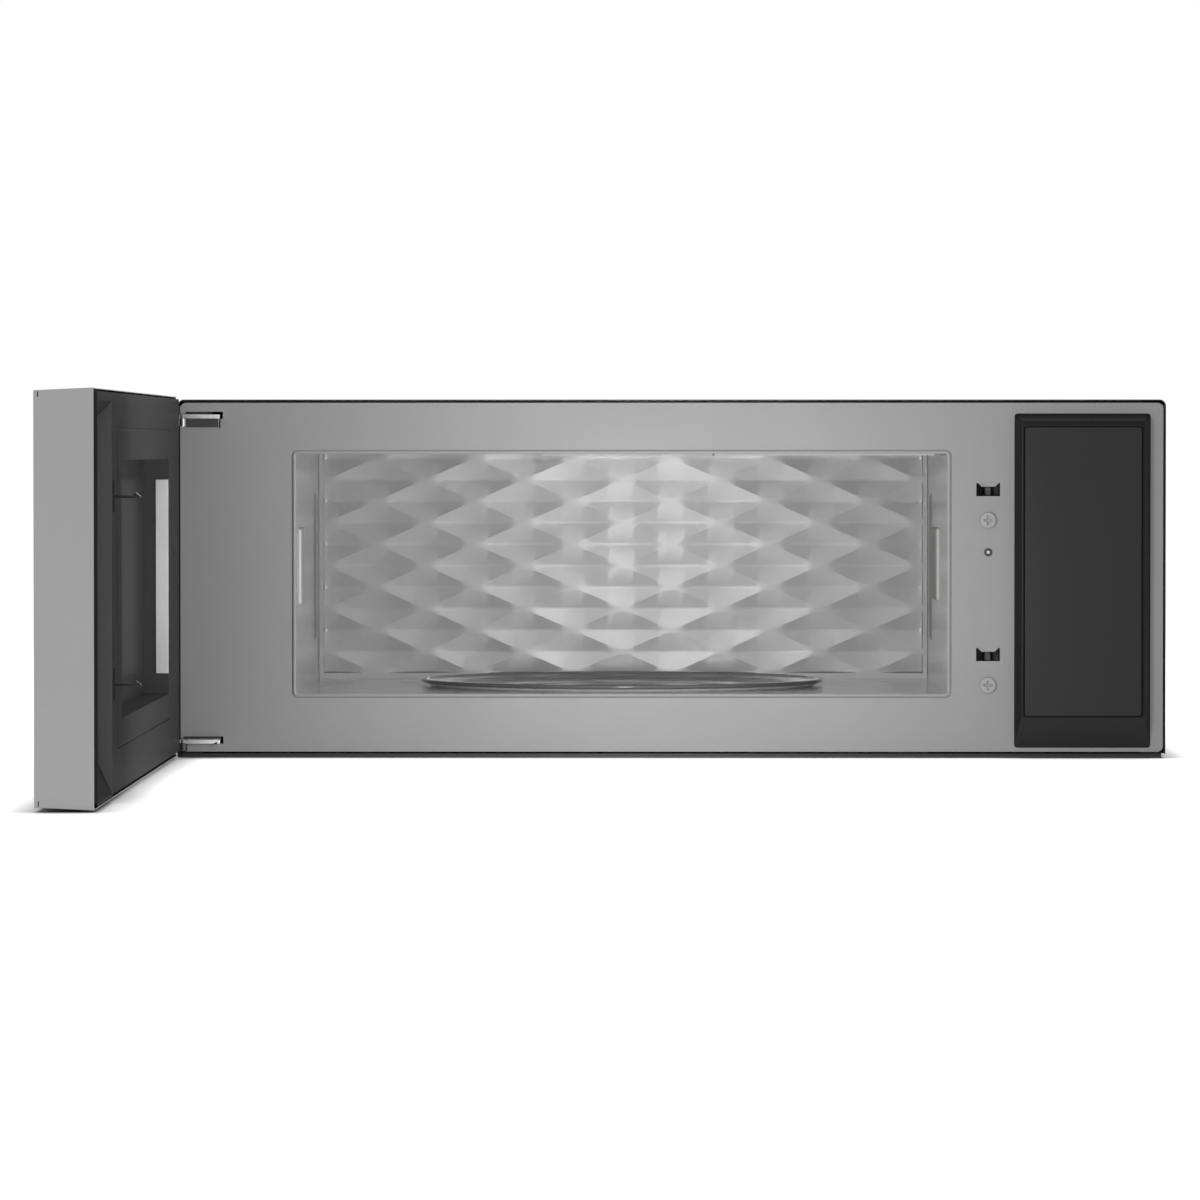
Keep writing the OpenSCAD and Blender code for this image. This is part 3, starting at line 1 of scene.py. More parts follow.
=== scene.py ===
import json
import math
import bmesh
import bpy
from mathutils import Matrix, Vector


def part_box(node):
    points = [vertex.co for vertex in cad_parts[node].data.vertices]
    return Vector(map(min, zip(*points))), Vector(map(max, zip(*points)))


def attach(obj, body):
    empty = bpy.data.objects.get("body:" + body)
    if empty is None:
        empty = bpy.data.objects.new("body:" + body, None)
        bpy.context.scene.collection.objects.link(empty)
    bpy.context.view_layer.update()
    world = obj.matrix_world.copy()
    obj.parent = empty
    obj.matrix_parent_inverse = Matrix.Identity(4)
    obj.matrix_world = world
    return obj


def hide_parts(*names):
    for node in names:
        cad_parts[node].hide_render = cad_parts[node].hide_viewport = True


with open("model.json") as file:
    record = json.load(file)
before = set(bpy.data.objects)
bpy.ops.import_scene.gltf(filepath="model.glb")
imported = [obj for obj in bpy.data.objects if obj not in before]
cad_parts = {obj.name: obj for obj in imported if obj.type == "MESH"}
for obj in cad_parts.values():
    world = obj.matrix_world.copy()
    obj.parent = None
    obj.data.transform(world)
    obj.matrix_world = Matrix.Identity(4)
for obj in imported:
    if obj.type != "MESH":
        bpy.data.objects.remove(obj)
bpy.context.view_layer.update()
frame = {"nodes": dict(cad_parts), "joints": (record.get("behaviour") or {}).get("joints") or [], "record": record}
MM = 0.001
BODY_OF = {n: b for b, names in frame["record"]["behaviour"]["bodies"].items() for n in names}
SLOT_OF = {p["node"]: p["material_slot"] for p in frame["record"]["subparts"]}
MAT = {}


def in_mm(point):
    """A point of the frame in millimetres, without the last digits of its stored metres."""
    return [round(v / MM, 4) for v in point]


def node_box(name):
    """Lower and upper corner of a CAD node."""
    return [in_mm(corner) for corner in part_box(name)]


# Places in the frame that the added pieces sit on, in millimetres. CAV is the inside of the cavity,
# and CAV_OUT the outside of its walls, each as x0, x1, z0 and z1
JOINT_AT = {j["name"]: in_mm(j["pos_m"]) for j in frame["joints"] if "pos_m" in j}
HINGE = JOINT_AT["door_hinge"]
TRAY = JOINT_AT["turntable_spin"]
FLOOR = node_box("cavity_floor")
CEILING = node_box("cavity_ceiling")
WALL = round(FLOOR[1][2] - FLOOR[0][2], 4)
CAV_OUT = (FLOOR[0][0], FLOOR[1][0], FLOOR[0][2], CEILING[1][2])
CAV = (CAV_OUT[0] + WALL, CAV_OUT[1] - WALL, CAV_OUT[2] + WALL, CAV_OUT[3] - WALL)
BACK_Y = FLOOR[1][1]
FRONT_Y = node_box("face_plate")[0][1]
LINER_X = node_box("door_liner")[1][0]
SLOT_X = sum(corner[0] for corner in node_box("latch_bracket")) / 2
SLOT_ZS = (79.9, 206.8)

# Sockets of the colour mix node, which have to be picked by number
MIX_SHARE, MIX_A, MIX_B, MIX_OUT = 0, 6, 7, 2
# Scale of the broad clouding in every finish
CLOUD_SCALE = 14.0


def grey(level):
    """Linear value of a grey written on the 0 to 255 display scale."""
    v = level / 255
    return v / 12.92 if v <= 0.04045 else ((v + 0.055) / 1.055) ** 2.4


def tone(level, warm=0.0):
    """Linear colour of a display grey, a little warmer or cooler."""
    return (grey(level * (1 + warm)), grey(level), grey(level * (1 - warm)))


# Node helpers for the materials
def add(tree, kind, **values):
    """Adds a node and sets its inputs, with an underscore for a space in an input's name."""
    node = tree.nodes.new(kind)
    for key, value in values.items():
        node.inputs[key.replace("_", " ")].default_value = value
    return node


def add_colour_mix(tree):
    node = tree.nodes.new("ShaderNodeMix")
    node.data_type = "RGBA"
    return node


def noise(tree, vector, scale, detail):
    node = add(tree, "ShaderNodeTexNoise", Scale=scale, Detail=detail, Roughness=0.55)
    tree.links.new(vector, node.inputs["Vector"])
    return node.outputs["Fac"]


def math_node(tree, operation, first, second=0):
    """Adds a math node for one or two values, each a number or a socket."""
    node = tree.nodes.new("ShaderNodeMath")
    node.operation = operation
    for socket, value in zip(node.inputs, (first, second)):
        if isinstance(value, (int, float)):
            socket.default_value = value
        else:
            tree.links.new(value, socket)
    return node.outputs[0]


def surface(name, colour, rough, metal=0.0, grain=600.0, stretch=(1, 1, 1), vary=0.06, bump=0.1,
            depth=0.0001, spread=0.05, **sockets):
    """Makes a finish with fine grain, broad clouding in colour and gloss, and a shallow relief."""
    mat = bpy.data.materials.new(name)
    MAT[name] = mat
    mat.use_nodes = True
    tree = mat.node_tree
    shader = tree.nodes["Principled BSDF"]
    shader.inputs["Metallic"].default_value = metal
    for key, value in sockets.items():
        shader.inputs[key.replace("_", " ")].default_value = value
    place = tree.nodes.new("ShaderNodeTexCoord").outputs["Object"]
    mapping = add(tree, "ShaderNodeMapping", Scale=stretch)
    tree.links.new(place, mapping.inputs["Vector"])
    fine = noise(tree, mapping.outputs["Vector"], grain, 4)
    broad = noise(tree, place, CLOUD_SCALE, 2)
    both = math_node(tree, "MULTIPLY", math_node(tree, "ADD", fine, broad), 0.5)
    mix = add_colour_mix(tree)
    mix.inputs[MIX_A].default_value = [c * (1 - 2 * vary) for c in colour] + [1]
    mix.inputs[MIX_B].default_value = [min(1, c * (1 + 2 * vary)) for c in colour] + [1]
    tree.links.new(both, mix.inputs[MIX_SHARE])
    tree.links.new(mix.outputs[MIX_OUT], shader.inputs["Base Color"])
    gloss = add(tree, "ShaderNodeMapRange", From_Min=0.3, From_Max=0.7,
                To_Min=max(0.02, rough - spread), To_Max=min(1.0, rough + spread))
    tree.links.new(both, gloss.inputs["Value"])
    tree.links.new(gloss.outputs["Result"], shader.inputs["Roughness"])
    if bump:
        relief = add(tree, "ShaderNodeBump", Strength=bump, Distance=depth)
        tree.links.new(fine, relief.inputs["Height"])
        tree.links.new(relief.outputs["Normal"], shader.inputs["Normal"])


def second_colour(mat, colour):
    """Lays a second colour over a finish. Returns its tree, its place by axis and the mask's socket."""
    tree = mat.node_tree
    base = tree.nodes["Principled BSDF"].inputs["Base Color"]
    place = tree.nodes.new("ShaderNodeTexCoord").outputs["Object"]
    split = tree.nodes.new("ShaderNodeSeparateXYZ")
    tree.links.new(place, split.inputs["Vector"])
    mix = add_colour_mix(tree)
    tree.links.new(base.links[0].from_socket, mix.inputs[MIX_A])
    mix.inputs[MIX_B].default_value = list(colour) + [1]
    tree.links.new(mix.outputs[MIX_OUT], base)
    return tree, split.outputs, mix.inputs[MIX_SHARE]


def striped(mat, axis, pitch, colour, share):
    """Adds stripes of a second colour across one axis, such as laminations."""
    tree, place, mask = second_colour(mat, colour)
    turns = math_node(tree, "FRACT", math_node(tree, "DIVIDE", place[axis], pitch))
    tree.links.new(math_node(tree, "LESS_THAN", turns, share), mask)


def dotted(mat, axes, pitch, radius, colour):
    """Adds a square grid of round holes in a second colour over two axes."""
    tree, place, mask = second_colour(mat, colour)
    square = []
    for axis in axes:
        turns = math_node(tree, "FRACT", math_node(tree, "DIVIDE", place[axis], pitch))
        off = math_node(tree, "SUBTRACT", turns, 0.5)
        square.append(math_node(tree, "MULTIPLY", off, off))
    away = math_node(tree, "SQRT", math_node(tree, "ADD", square[0], square[1]))
    tree.links.new(math_node(tree, "LESS_THAN", away, radius / pitch), mask)


# Finishes, each kept in MAT under its own name. Those from liner_wall_painted_light on are the scene's own
BRUSH_FLAT = (0.5, 0.5, 60)
surface("case_black", tone(34), 0.38, grain=1400, bump=0.25, vary=0.08, Specular_IOR_Level=0.3)
surface("back_zinc", tone(176), 0.42, metal=0.9, grain=90, vary=0.12, bump=0.05, spread=0.12)
surface("base_dark", tone(44), 0.45, grain=1400, bump=0.25)
surface("face_grey", tone(143), 0.6, metal=0.6, grain=1800, vary=0.02, bump=0.12, depth=0.00003,
        spread=0.03, Specular_IOR_Level=0.3)
surface("cavity_grey", tone(183), 0.3, metal=0.25, grain=1200, vary=0.02, bump=0.08, depth=0.00003,
        spread=0.03, Coat_Weight=0.4, Coat_Roughness=0.1)
surface("cavity_relief", tone(160), 0.37, metal=0.26, grain=1200, vary=0.015, bump=0.05, depth=0.00003,
        spread=0.03, Coat_Weight=0.07, Coat_Roughness=0.12)
surface("mica_cover", tone(206, 0.01), 0.55, grain=300, vary=0.04, bump=0.2)
surface("vent_cover", tone(206), 0.4, grain=1200, vary=0.02, bump=0.08)
surface("lamp_cover", tone(225), 0.35, grain=1200, vary=0.02, Transmission_Weight=0.5, IOR=1.45)
surface("lamp_body", tone(214, 0.02), 0.55, grain=500)
surface("bracket_black", tone(44), 0.5, grain=1200, bump=0.3)
surface("switch_body", tone(96), 0.5, grain=1200, bump=0.3)
surface("screw_steel", tone(166), 0.34, metal=0.8, grain=700, vary=0.05)
surface("plunger_white", tone(228), 0.3, grain=700)
surface("bay_black", tone(30, -0.01), 0.42, grain=1600, bump=0.3, depth=0.00004, vary=0.05,
        Specular_IOR_Level=0.12)
surface("bay_cover", tone(46, -0.01), 0.46, grain=1600, bump=0.3, depth=0.00004, vary=0.05,
        Specular_IOR_Level=0.2)
surface("board_green", (0.03, 0.12, 0.05), 0.4, grain=400, vary=0.1)
surface("hinge_steel", tone(242), 0.24, metal=1.0, grain=500, vary=0.03, bump=0.02)
surface("filter_mesh", tone(196), 0.34, metal=1.0, grain=900, vary=0.1)
surface("lens_clear", tone(240), 0.12, grain=400, Transmission_Weight=0.9, IOR=1.49)
surface("charcoal", tone(46), 0.85, grain=260, vary=0.3, bump=0.9, depth=0.001)
surface("magnetron_metal", tone(186), 0.32, metal=1.0, grain=500, vary=0.08)
surface("guide_zinc", tone(182), 0.4, metal=0.9, grain=90, vary=0.12, spread=0.1)
surface("core_iron", (0.16, 0.1, 0.06), 0.5, grain=600, vary=0.15)
surface("can_aluminium", tone(192), 0.36, metal=1.0, grain=700, vary=0.06)
surface("shroud_plastic", tone(196, 0.01), 0.5, grain=900, bump=0.2)
surface("fan_plastic", tone(216), 0.42, grain=900, bump=0.15)
surface("wheel_plastic", tone(204, 0.01), 0.5, grain=900, bump=0.15)
surface("motor_steel", tone(170), 0.4, metal=0.9, grain=120, vary=0.1)
surface("rubber_black", tone(34), 0.75, grain=900, bump=0.4)
surface("cutout_brown", (0.19, 0.12, 0.06), 0.5, grain=700)
surface("tray_glass", tone(162), 0.05, grain=200, vary=0.01, bump=0.0, spread=0.02,
        Specular_IOR_Level=0.35, Coat_Weight=0.3, Coat_Roughness=0.03, Subsurface_Weight=0.7,
        Subsurface_Scale=0.01, Subsurface_Radius=(1.0, 1.0, 1.0))
surface("coupler_white", tone(216), 0.45, grain=900, bump=0.15)
surface("ring_white", tone(210, 0.01), 0.45, grain=900, bump=0.15)
surface("roller_white", tone(218), 0.4, grain=900, bump=0.15)
surface("door_stainless", tone(160), 0.32, metal=1.0, grain=60, stretch=BRUSH_FLAT, vary=0.03,
        bump=0.05, depth=0.00003, spread=0.04, Anisotropic=0.3)
surface("door_glass", tone(14), 0.16, grain=300, vary=0.05, bump=0.0, spread=0.02)
surface("frame_steel", tone(120), 0.42, metal=0.8, grain=140, vary=0.1)
surface("liner_grey", tone(72), 0.42, grain=1500, vary=0.04, bump=0.3, depth=0.00004, spread=0.04,
        Specular_IOR_Level=0.0, Coat_Weight=0.1, Coat_Roughness=0.35)
surface("screen_black", tone(40), 0.5, metal=0.4, grain=900)
surface("window_film", tone(66), 0.2, grain=300, vary=0.02, bump=0.0, spread=0.02,
        Specular_IOR_Level=0.0, Coat_Weight=0.12, Coat_Roughness=0.2)
surface("bush_steel", tone(150), 0.34, metal=1.0, grain=500, vary=0.04, bump=0.02)
surface("latch_plastic", tone(52), 0.3, grain=1200, bump=0.15)
# Lighter copy of the liner's grey for the wall of the door's pocket, which paints the light that falls on it
surface("liner_wall_painted_light", tone(150), 0.45, grain=1500, vary=0.04, bump=0.3, depth=0.00004, spread=0.04,
        Specular_IOR_Level=0.6)
surface("latch_screw", tone(150), 0.45, metal=0.4, grain=700, vary=0.05)
# Darker copy of the tray's glass for its rim, which paints the shade along the glass's edge
surface("tray_rim_painted_shade", tone(96), 0.06, grain=200, vary=0.01, bump=0.0, spread=0.02,
        Specular_IOR_Level=0.6)
# Lighter copy of the tray's glass for its underside, which paints the light that comes through the glass
surface("tray_under_painted_light", tone(248), 0.3, grain=200, vary=0.01, bump=0.0, spread=0.02,
        Subsurface_Weight=0.7, Subsurface_Scale=0.01, Subsurface_Radius=(1.0, 1.0, 1.0))
# Lighter copy of the bay's black for its down-facing bevels, which paints light on them
surface("bay_chin", tone(48, -0.01), 0.42, grain=1600, bump=0.3, depth=0.00004,
        Specular_IOR_Level=0.12)
# Darker copy of the bay's black for its up-facing bevels, which paints shade on them
surface("bay_brow_painted_shade", tone(19, -0.01), 0.42, grain=1600, bump=0.3, depth=0.00004, Specular_IOR_Level=0.1)
# Brighter copy of the cavity's grey for its floor and well, which paints light on them
surface("cavity_base_painted_light", tone(235), 0.25, metal=0.9, grain=1200, vary=0.02, bump=0.08, Coat_Weight=0.5,
        Coat_Roughness=0.1)
# Darker copy of the bush steel for the lower bush, which paints the shade it sits in
surface("bush_painted_shade", tone(64), 0.4, metal=0.6, grain=700, vary=0.05)
# Near black, for the black seams at the door's end, and for pieces and faces that paint shade beside the hinge
# brackets, at the case's corner and inside the skin's lower fold
surface("seam_black_and_painted_shade", tone(14), 0.7, grain=900, bump=0.2)
surface("trim_steel", tone(240), 0.38, metal=1.0, grain=36, stretch=BRUSH_FLAT, vary=0.06, bump=0.04,
        depth=0.00003)
# Grey lighter than the case's black for the hem on the case's front edge, which paints the highlight along that
# edge
surface("hem_painted_highlight", tone(52), 0.4, grain=1400, vary=0.06)
surface("print_grey", tone(168), 0.5, grain=900, vary=0.04, bump=0.1)
surface("display_dark", tone(44, -0.05), 0.12, grain=500, vary=0.1, bump=0.0)
striped(MAT["board_green"], 2, 0.006, (0.05, 0.17, 0.07), 0.3)
striped(MAT["core_iron"], 0, 0.001, (0.07, 0.05, 0.04), 0.35)
dotted(MAT["screen_black"], (1, 2), 0.0022, 0.0008, tone(8))


# Mesh helpers, in millimetres
def publish(name, bm, finish, body, replaced=(), sharp=32.0):
    """Turns a bmesh in millimetres into a piece that rides on a body."""
    bmesh.ops.scale(bm, vec=(MM, MM, MM), verts=bm.verts)
    return publish_metres(name, bm, finish, body, replaced, sharp)


def publish_metres(name, bm, finish, body, replaced=(), sharp=32.0):
    """Does the same for a bmesh in metres. Edges that turn by more than sharp degrees stay hard."""
    bmesh.ops.recalc_face_normals(bm, faces=bm.faces)
    limit = math.radians(sharp)
    for face in bm.faces:
        face.smooth = True
    for edge in bm.edges:
        edge.smooth = len(edge.link_faces) == 2 and edge.calc_face_angle(0.0) < limit
    mesh = bpy.data.meshes.new(name)
    bm.to_mesh(mesh)
    bm.free()
    mesh.materials.append(MAT[finish])
    obj = bpy.data.objects.new(name, mesh)
    bpy.context.scene.collection.objects.link(obj)
    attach(obj, body)
    if replaced:
        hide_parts(*replaced)
    return obj


def add_bevel(obj, width, segments=2):
    mod = obj.modifiers.new("edge", "BEVEL")
    mod.width = width * MM
    mod.segments = segments
    mod.limit_method = "ANGLE"
    mod.angle_limit = math.radians(30)
    mod.harden_normals = True
    mod.use_clamp_overlap = True


def soften(node, width, finish=None):
    """Shows a copy of a CAD node in its place, with clean faces and rounded edges."""
    bm = bmesh.new()
    bm.from_mesh(frame["nodes"][node].data)
    for layer in list(bm.loops.layers.uv):
        bm.loops.layers.uv.remove(layer)
    bmesh.ops.remove_doubles(bm, verts=bm.verts, dist=2e-6)
    bmesh.ops.dissolve_limit(bm, angle_limit=math.radians(0.8), verts=bm.verts, edges=bm.edges)
    slot = SLOT_OF[node]
    piece = publish_metres(node + "_fine", bm, finish or slot, BODY_OF[node], (node,))
    normals = piece.data.attributes.get("custom_normal")
    if normals:
        piece.data.attributes.remove(normals)
    add_bevel(piece, width)


def refinish(name, finish, chosen):
    """Gives a second finish to the faces that a test of their normal and place picks."""
    mesh = bpy.data.objects[name].data
    mesh.materials.append(MAT[finish])
    for face in mesh.polygons:
        if chosen(face.normal, face.center / MM):
            face.material_index = len(mesh.materials) - 1


def block(bm, lo, hi):
    """Adds a box between two corners."""
    for vert in bmesh.ops.create_cube(bm, size=1.0)["verts"]:
        vert.co = Vector([lo[i] if vert.co[i] < 0 else hi[i] for i in range(3)])


def block_from(bm, origin, lo, hi):
    """Adds a box between two offsets from a point."""
    block(bm, [o + d for o, d in zip(origin, lo)], [o + d for o, d in zip(origin, hi)])


def loft(bm, rings, caps=True):
    """Skins a list of rings of points, each of the same count."""
    rows = [[bm.verts.new(p) for p in ring] for ring in rings]
    count = len(rows[0])
    for low, high in zip(rows, rows[1:]):
        for i in range(count):
            j = (i + 1) % count
            bm.faces.new((low[i], low[j], high[j], high[i]))
    if caps:
        bm.faces.new(rows[0][::-1])
        bm.faces.new(rows[-1])


def weld(bm):
    bmesh.ops.remove_doubles(bm, verts=bm.verts, dist=1e-4)


def hoop(bm, rings):
    """Skins rings into a body that closes on itself, such as a bead or a turned plate."""
    loft(bm, rings + [rings[0]], caps=False)
    weld(bm)


def circle(cx, cz, r, steps):
    turns = [2 * math.pi * k / steps for k in range(steps)]
    return [(cx + r * math.cos(a), cz + r * math.sin(a)) for a in turns]


def rounded_rect(x0, x1, z0, z1, r, steps=6):
    """Points round a rectangle with round corners, in order."""
    out = []
    for cx, cz, start in ((x1 - r, z1 - r, 0), (x0 + r, z1 - r, 90), (x0 + r, z0 + r, 180),
                          (x1 - r, z0 + r, 270)):
        for k in range(steps + 1):
            a = math.radians(start + 90 * k / steps)
            out.append((cx + r * math.cos(a), cz + r * math.sin(a)))
    return out


def inset(limits, d):
    """The limits x0, x1, z0 and z1 of a rectangle, each moved inwards."""
    x0, x1, z0, z1 = limits
    return (x0 + d, x1 - d, z0 + d, z1 - d)


def smooth(share):
    """Eases a share in from 0 and out to 1."""
    share = min(1.0, max(0.0, share))
    return share * share * (3 - 2 * share)


def door(xc, u, z):
    """Where a point of the shut door is at rest, in millimetres.

    xc runs along the shut door, u goes outwards from its inner face, and z is the height.
    """
    return (LINER_X - u, HINGE[1] - (xc - HINGE[0]), z)


def along_door(y):
    """The place along the shut door of what is at y on the open one, and the other way round."""
    return HINGE[0] + HINGE[1] - y


def door_block(bm, xs, us, zs):
    """Adds a box whose limits are given on the shut door."""
    points = [door(x, u, z) for x in xs for u in us for z in zs]
    block(bm, [min(axis) for axis in zip(*points)], [max(axis) for axis in zip(*points)])


# Back wall of the cavity, with rows of hollow diamonds between wavy ridges
def back_wall():
    sheet = CAV_OUT
    panel = inset(CAV, 4)
    # Start and length of the ridges' wave, the ridges' height over the wall, the flat border outside the
    # panel, and the strip inside it where the hollows begin, all in millimetres
    wave_x0, wave = -282.9, 81.3
    rise, border, ramp = 2.6, 1.6, 1.3
    # Fall for each millimetre from ridge to valley
    slope = 0.076
    # Swing of the ridges, width over which a diamond's tip fades, and half a valley's round, all in rows
    sway, tip_fade, round_off = 0.338, 0.2, 0.09
    rows, steps_x = 10, 144
    pitch = (panel[3] - panel[2]) / rows
    top = (panel[3] - sheet[3]) / pitch
    xs = [sheet[0], panel[0] - border, panel[0], panel[0] + 1.0]
    xs += [panel[0] + (panel[1] - panel[0]) * i / steps_x for i in range(1, steps_x)]
    xs += [panel[1] - 1.0, panel[1], panel[1] + border, sheet[1]]

    def half(x, j):
        """Half height of row j's diamonds at x, in rows."""
        phase = math.cos(2 * math.pi * (x - wave_x0) / wave)
        return 0.5 + sway * phase * (1 if j % 2 == 0 else -1)

    def height(x, z):
        """Height of the sheet's face over the wall, which falls from each ridge to each valley."""
        t = (panel[3] - z) / pitch
        row = min(rows - 1, math.floor(t))
        fall = 0.0
        for j in (row, row + 1):
            wide = half(x, j)
            off = abs(t - j)
            if off < round_off:
                off = (off ** 2 + round_off ** 2) / (2 * round_off)
            fall = max(fall, slope * pitch * smooth((wide - 0.5 + sway) / tip_fade) * (wide - off))
        inside = min(x - panel[0], panel[1] - x, z - panel[2])
        return rise - fall * min(1.0, max(0.0, inside / ramp))

    def stops(x):
        """Heights of the mesh rows at x, which follow each valley and each ridge."""
        out = [top, -min(half(x, 0), 0.9 * -top), rows - 1.0 / pitch]
        out += [j + half(x, j) for j in range(rows)]
        for j in range(rows + 1):
            out += [j + k * round_off for k in (-1, -0.5, 0, 0.5, 1) if j + k * round_off <= rows]
        return [panel[3] - t * pitch for t in sorted(out)] + [panel[2] - border, sheet[2]]

    bm = bmesh.new()
    columns = [[bm.verts.new((x, BACK_Y - height(x, z), z)) for z in stops(x)[::-1]] for x in xs]
    front = [list(row) for row in zip(*columns)]
    for a, b in zip(front, front[1:]):
        for i in range(len(xs) - 1):
            bm.faces.new((a[i], a[i + 1], b[i + 1], b[i]))
    rim = front[0][:-1] + [r[-1] for r in front[:-1]] + front[-1][:0:-1] + [r[0] for r in front[:0:-1]]
    back = [bm.verts.new((v.co.x, BACK_Y + 1.0, v.co.z)) for v in rim]
    for i in range(len(rim)):
        j = (i + 1) % len(rim)
        bm.faces.new((rim[i], back[i], back[j], rim[j]))
    bm.faces.new(back)
    publish("back_wall_quilt", bm, "cavity_relief", "chassis", ("cavity_back_wall",), 6)


# Bay housing with soft corners, a shadow groove and its raised cover
def bay():
    (x0, face_y, z0), (x1, _, z1) = node_box("bay_housing")
    base = (x0, x1, z0, z1)
    flat = (x0 + 5, x1 - 5, z0 + 23.4, z1 - 6)
    recess = (270.0, 362.0, 32.0, 256.0)
    groove = (270.3, 361.7, 32.25, 255.7)
    proud = FRONT_Y - face_y

    def ring(x0, x1, z0, z1, r, y):
        return [(x, y, z) for x, z in rounded_rect(x0, x1, z0, z1, r, 5)]

    bm = bmesh.new()
    rings = [ring(*inset(base, 1.6), 2.0, FRONT_Y + 9), ring(*base, 2.4, FRONT_Y + 0.4),
             ring(*base, 2.4, FRONT_Y - 0.3)]
    for t, rise in ((0.04, 0.07), (0.5, 0.51), (0.9, 0.925), (0.97, 0.98), (1.04, 1.0)):
        box = [b + (f - b) * t for b, f in zip(base, flat)]
        box[2] = base[2] + (flat[2] - base[2]) * min(t, 1.01)
        rings.append(ring(*box, 2.4 - 0.8 * min(t, 1), FRONT_Y - proud * rise))
    rings.append(ring(*recess, 2.6, face_y))
    rings.append(ring(*groove, 2.4, face_y + 0.3))
    rings.append(ring(*groove, 2.4, face_y + 2.2))
    loft(bm, rings)
    publish("bay_housing_fine", bm, "bay_black", "chassis", ("bay_housing",), 40)
    bm = bmesh.new()
    cover = (271.3, 360.7, 33.0, 254.7)
    rings = [ring(*cover, 2.0, face_y + 2.4), ring(*cover, 2.0, face_y + 0.5),
             ring(*inset(cover, 0.2), 1.8, face_y + 0.1), ring(*inset(cover, 0.7), 1.4, face_y)]
    loft(bm, rings)
    publish("bay_cover_fine", bm, "bay_cover", "chassis", ("bay_cover",), 40)


# Steel trims on the side walls of the door's window
def window_trims():
    bm = bmesh.new()
    lo, hi = node_box("inner_window")
    for y, side in ((hi[1], 1), (lo[1], -1)):
        x = along_door(y) + side * 6.8
        door_block(bm, (x - side * 0.5, x + side * 0.15), (0.35, 9.75), (69.2, 215.0))
    add_bevel(publish("window_trims", bm, "trim_steel", "door"), 0.12, 1)


# Slope that leads from the groove round the window up to the window's surround
def window_step():
    bm = bmesh.new()
    foot = (-280.2, 213.6, 34.4, 252.4)
    rings = []
    for d, u in ((0.0, 0.9), (0.0, 0.78), (1.7, 0.0), (2.2, 0.05), (2.2, 0.9)):
        rings.append([door(x, u, z) for x, z in rounded_rect(*inset(foot, d), 0.4, 2)])
    hoop(bm, rings)
    publish("window_step", bm, "liner_grey", "door")


# Dark plate on the upper hinge bracket, which paints the shade under its flange; dark strips that paint the
# shadows beside both brackets; a wedge that paints shade at the lower bracket's corner; and a block that paints
# the shade at the case's corner
def painted_hinge_shade():
    upper, lower = node_box("hinge_bracket_upper")[1], node_box("hinge_bracket_lower")[0]
    bm = bmesh.new()
    # Dark plate that paints the shade under the upper bracket's flange
    block_from(bm, upper, (-25.3, -6.6, -9.7), (-1.1, -6.3, -3.1))
    add_bevel(publish("hinge_face", bm, "bracket_black", "chassis"), 0.1, 1)
    # Dark strips that paint the shadows beside both brackets, a block that paints the shade at the case's corner,
    # and a wedge that paints shade at the lower bracket's corner
    bm = bmesh.new()
    block_from(bm, upper, (-0.9, -6.7, -9.9), (0.4, -3.9, -2.4))
    block_from(bm, lower, (2.8, -0.3, 9.5), (31.8, 0.1, 11.4))
    block_from(bm, node_box("base_pan")[0], (-3.7, 0.0, 0.2), (0.5, 3.0, 4.4))
    wedge = [(24.6, 5.4), (28.6, 5.4), (28.6, 7.4)]
    loft(bm, [[(lower[0] + x, lower[1] + y, lower[2] + z) for x, z in wedge] for y in (-0.25, 0.1)])
    add_bevel(publish("hinge_painted_shadows", bm, "seam_black_and_painted_shade", "chassis"), 0.1, 1)


# Levers of the door switches, seen through the latch slots
def slot_levers():
    bm = bmesh.new()
    outline = [(-1.9, 17), (2.7, 17), (2.7, 23), (4.5, 23.8), (-3.7, 23.8), (-1.9, 23)]
    for z in SLOT_ZS:
        loft(bm, [[(SLOT_X + x, FRONT_Y + y, z + dz) for x, y in outline] for dz in (-5.0, 1.6)])
    add_bevel(publish("slot_levers", bm, "switch_body", "chassis"), 0.3)


# Rolled hem along the front edge of the case's top, in a grey lighter than the case's black paint, which paints
# the highlight along that edge
def top_hem():
    bm = bmesh.new()
    top = node_box("case_top")[1][2]
    outline = [(1.1, -1.3), (0.3, -1.3), (0.0, -1.0), (0.0, -0.2), (0.3, 0.0), (1.1, 0.0)]
    loft(bm, [[(x, FRONT_Y + y, top + z) for y, z in outline] for x in (-376.4, 362.0)])
    publish("top_hem", bm, "hem_painted_highlight", "chassis", (), 50)


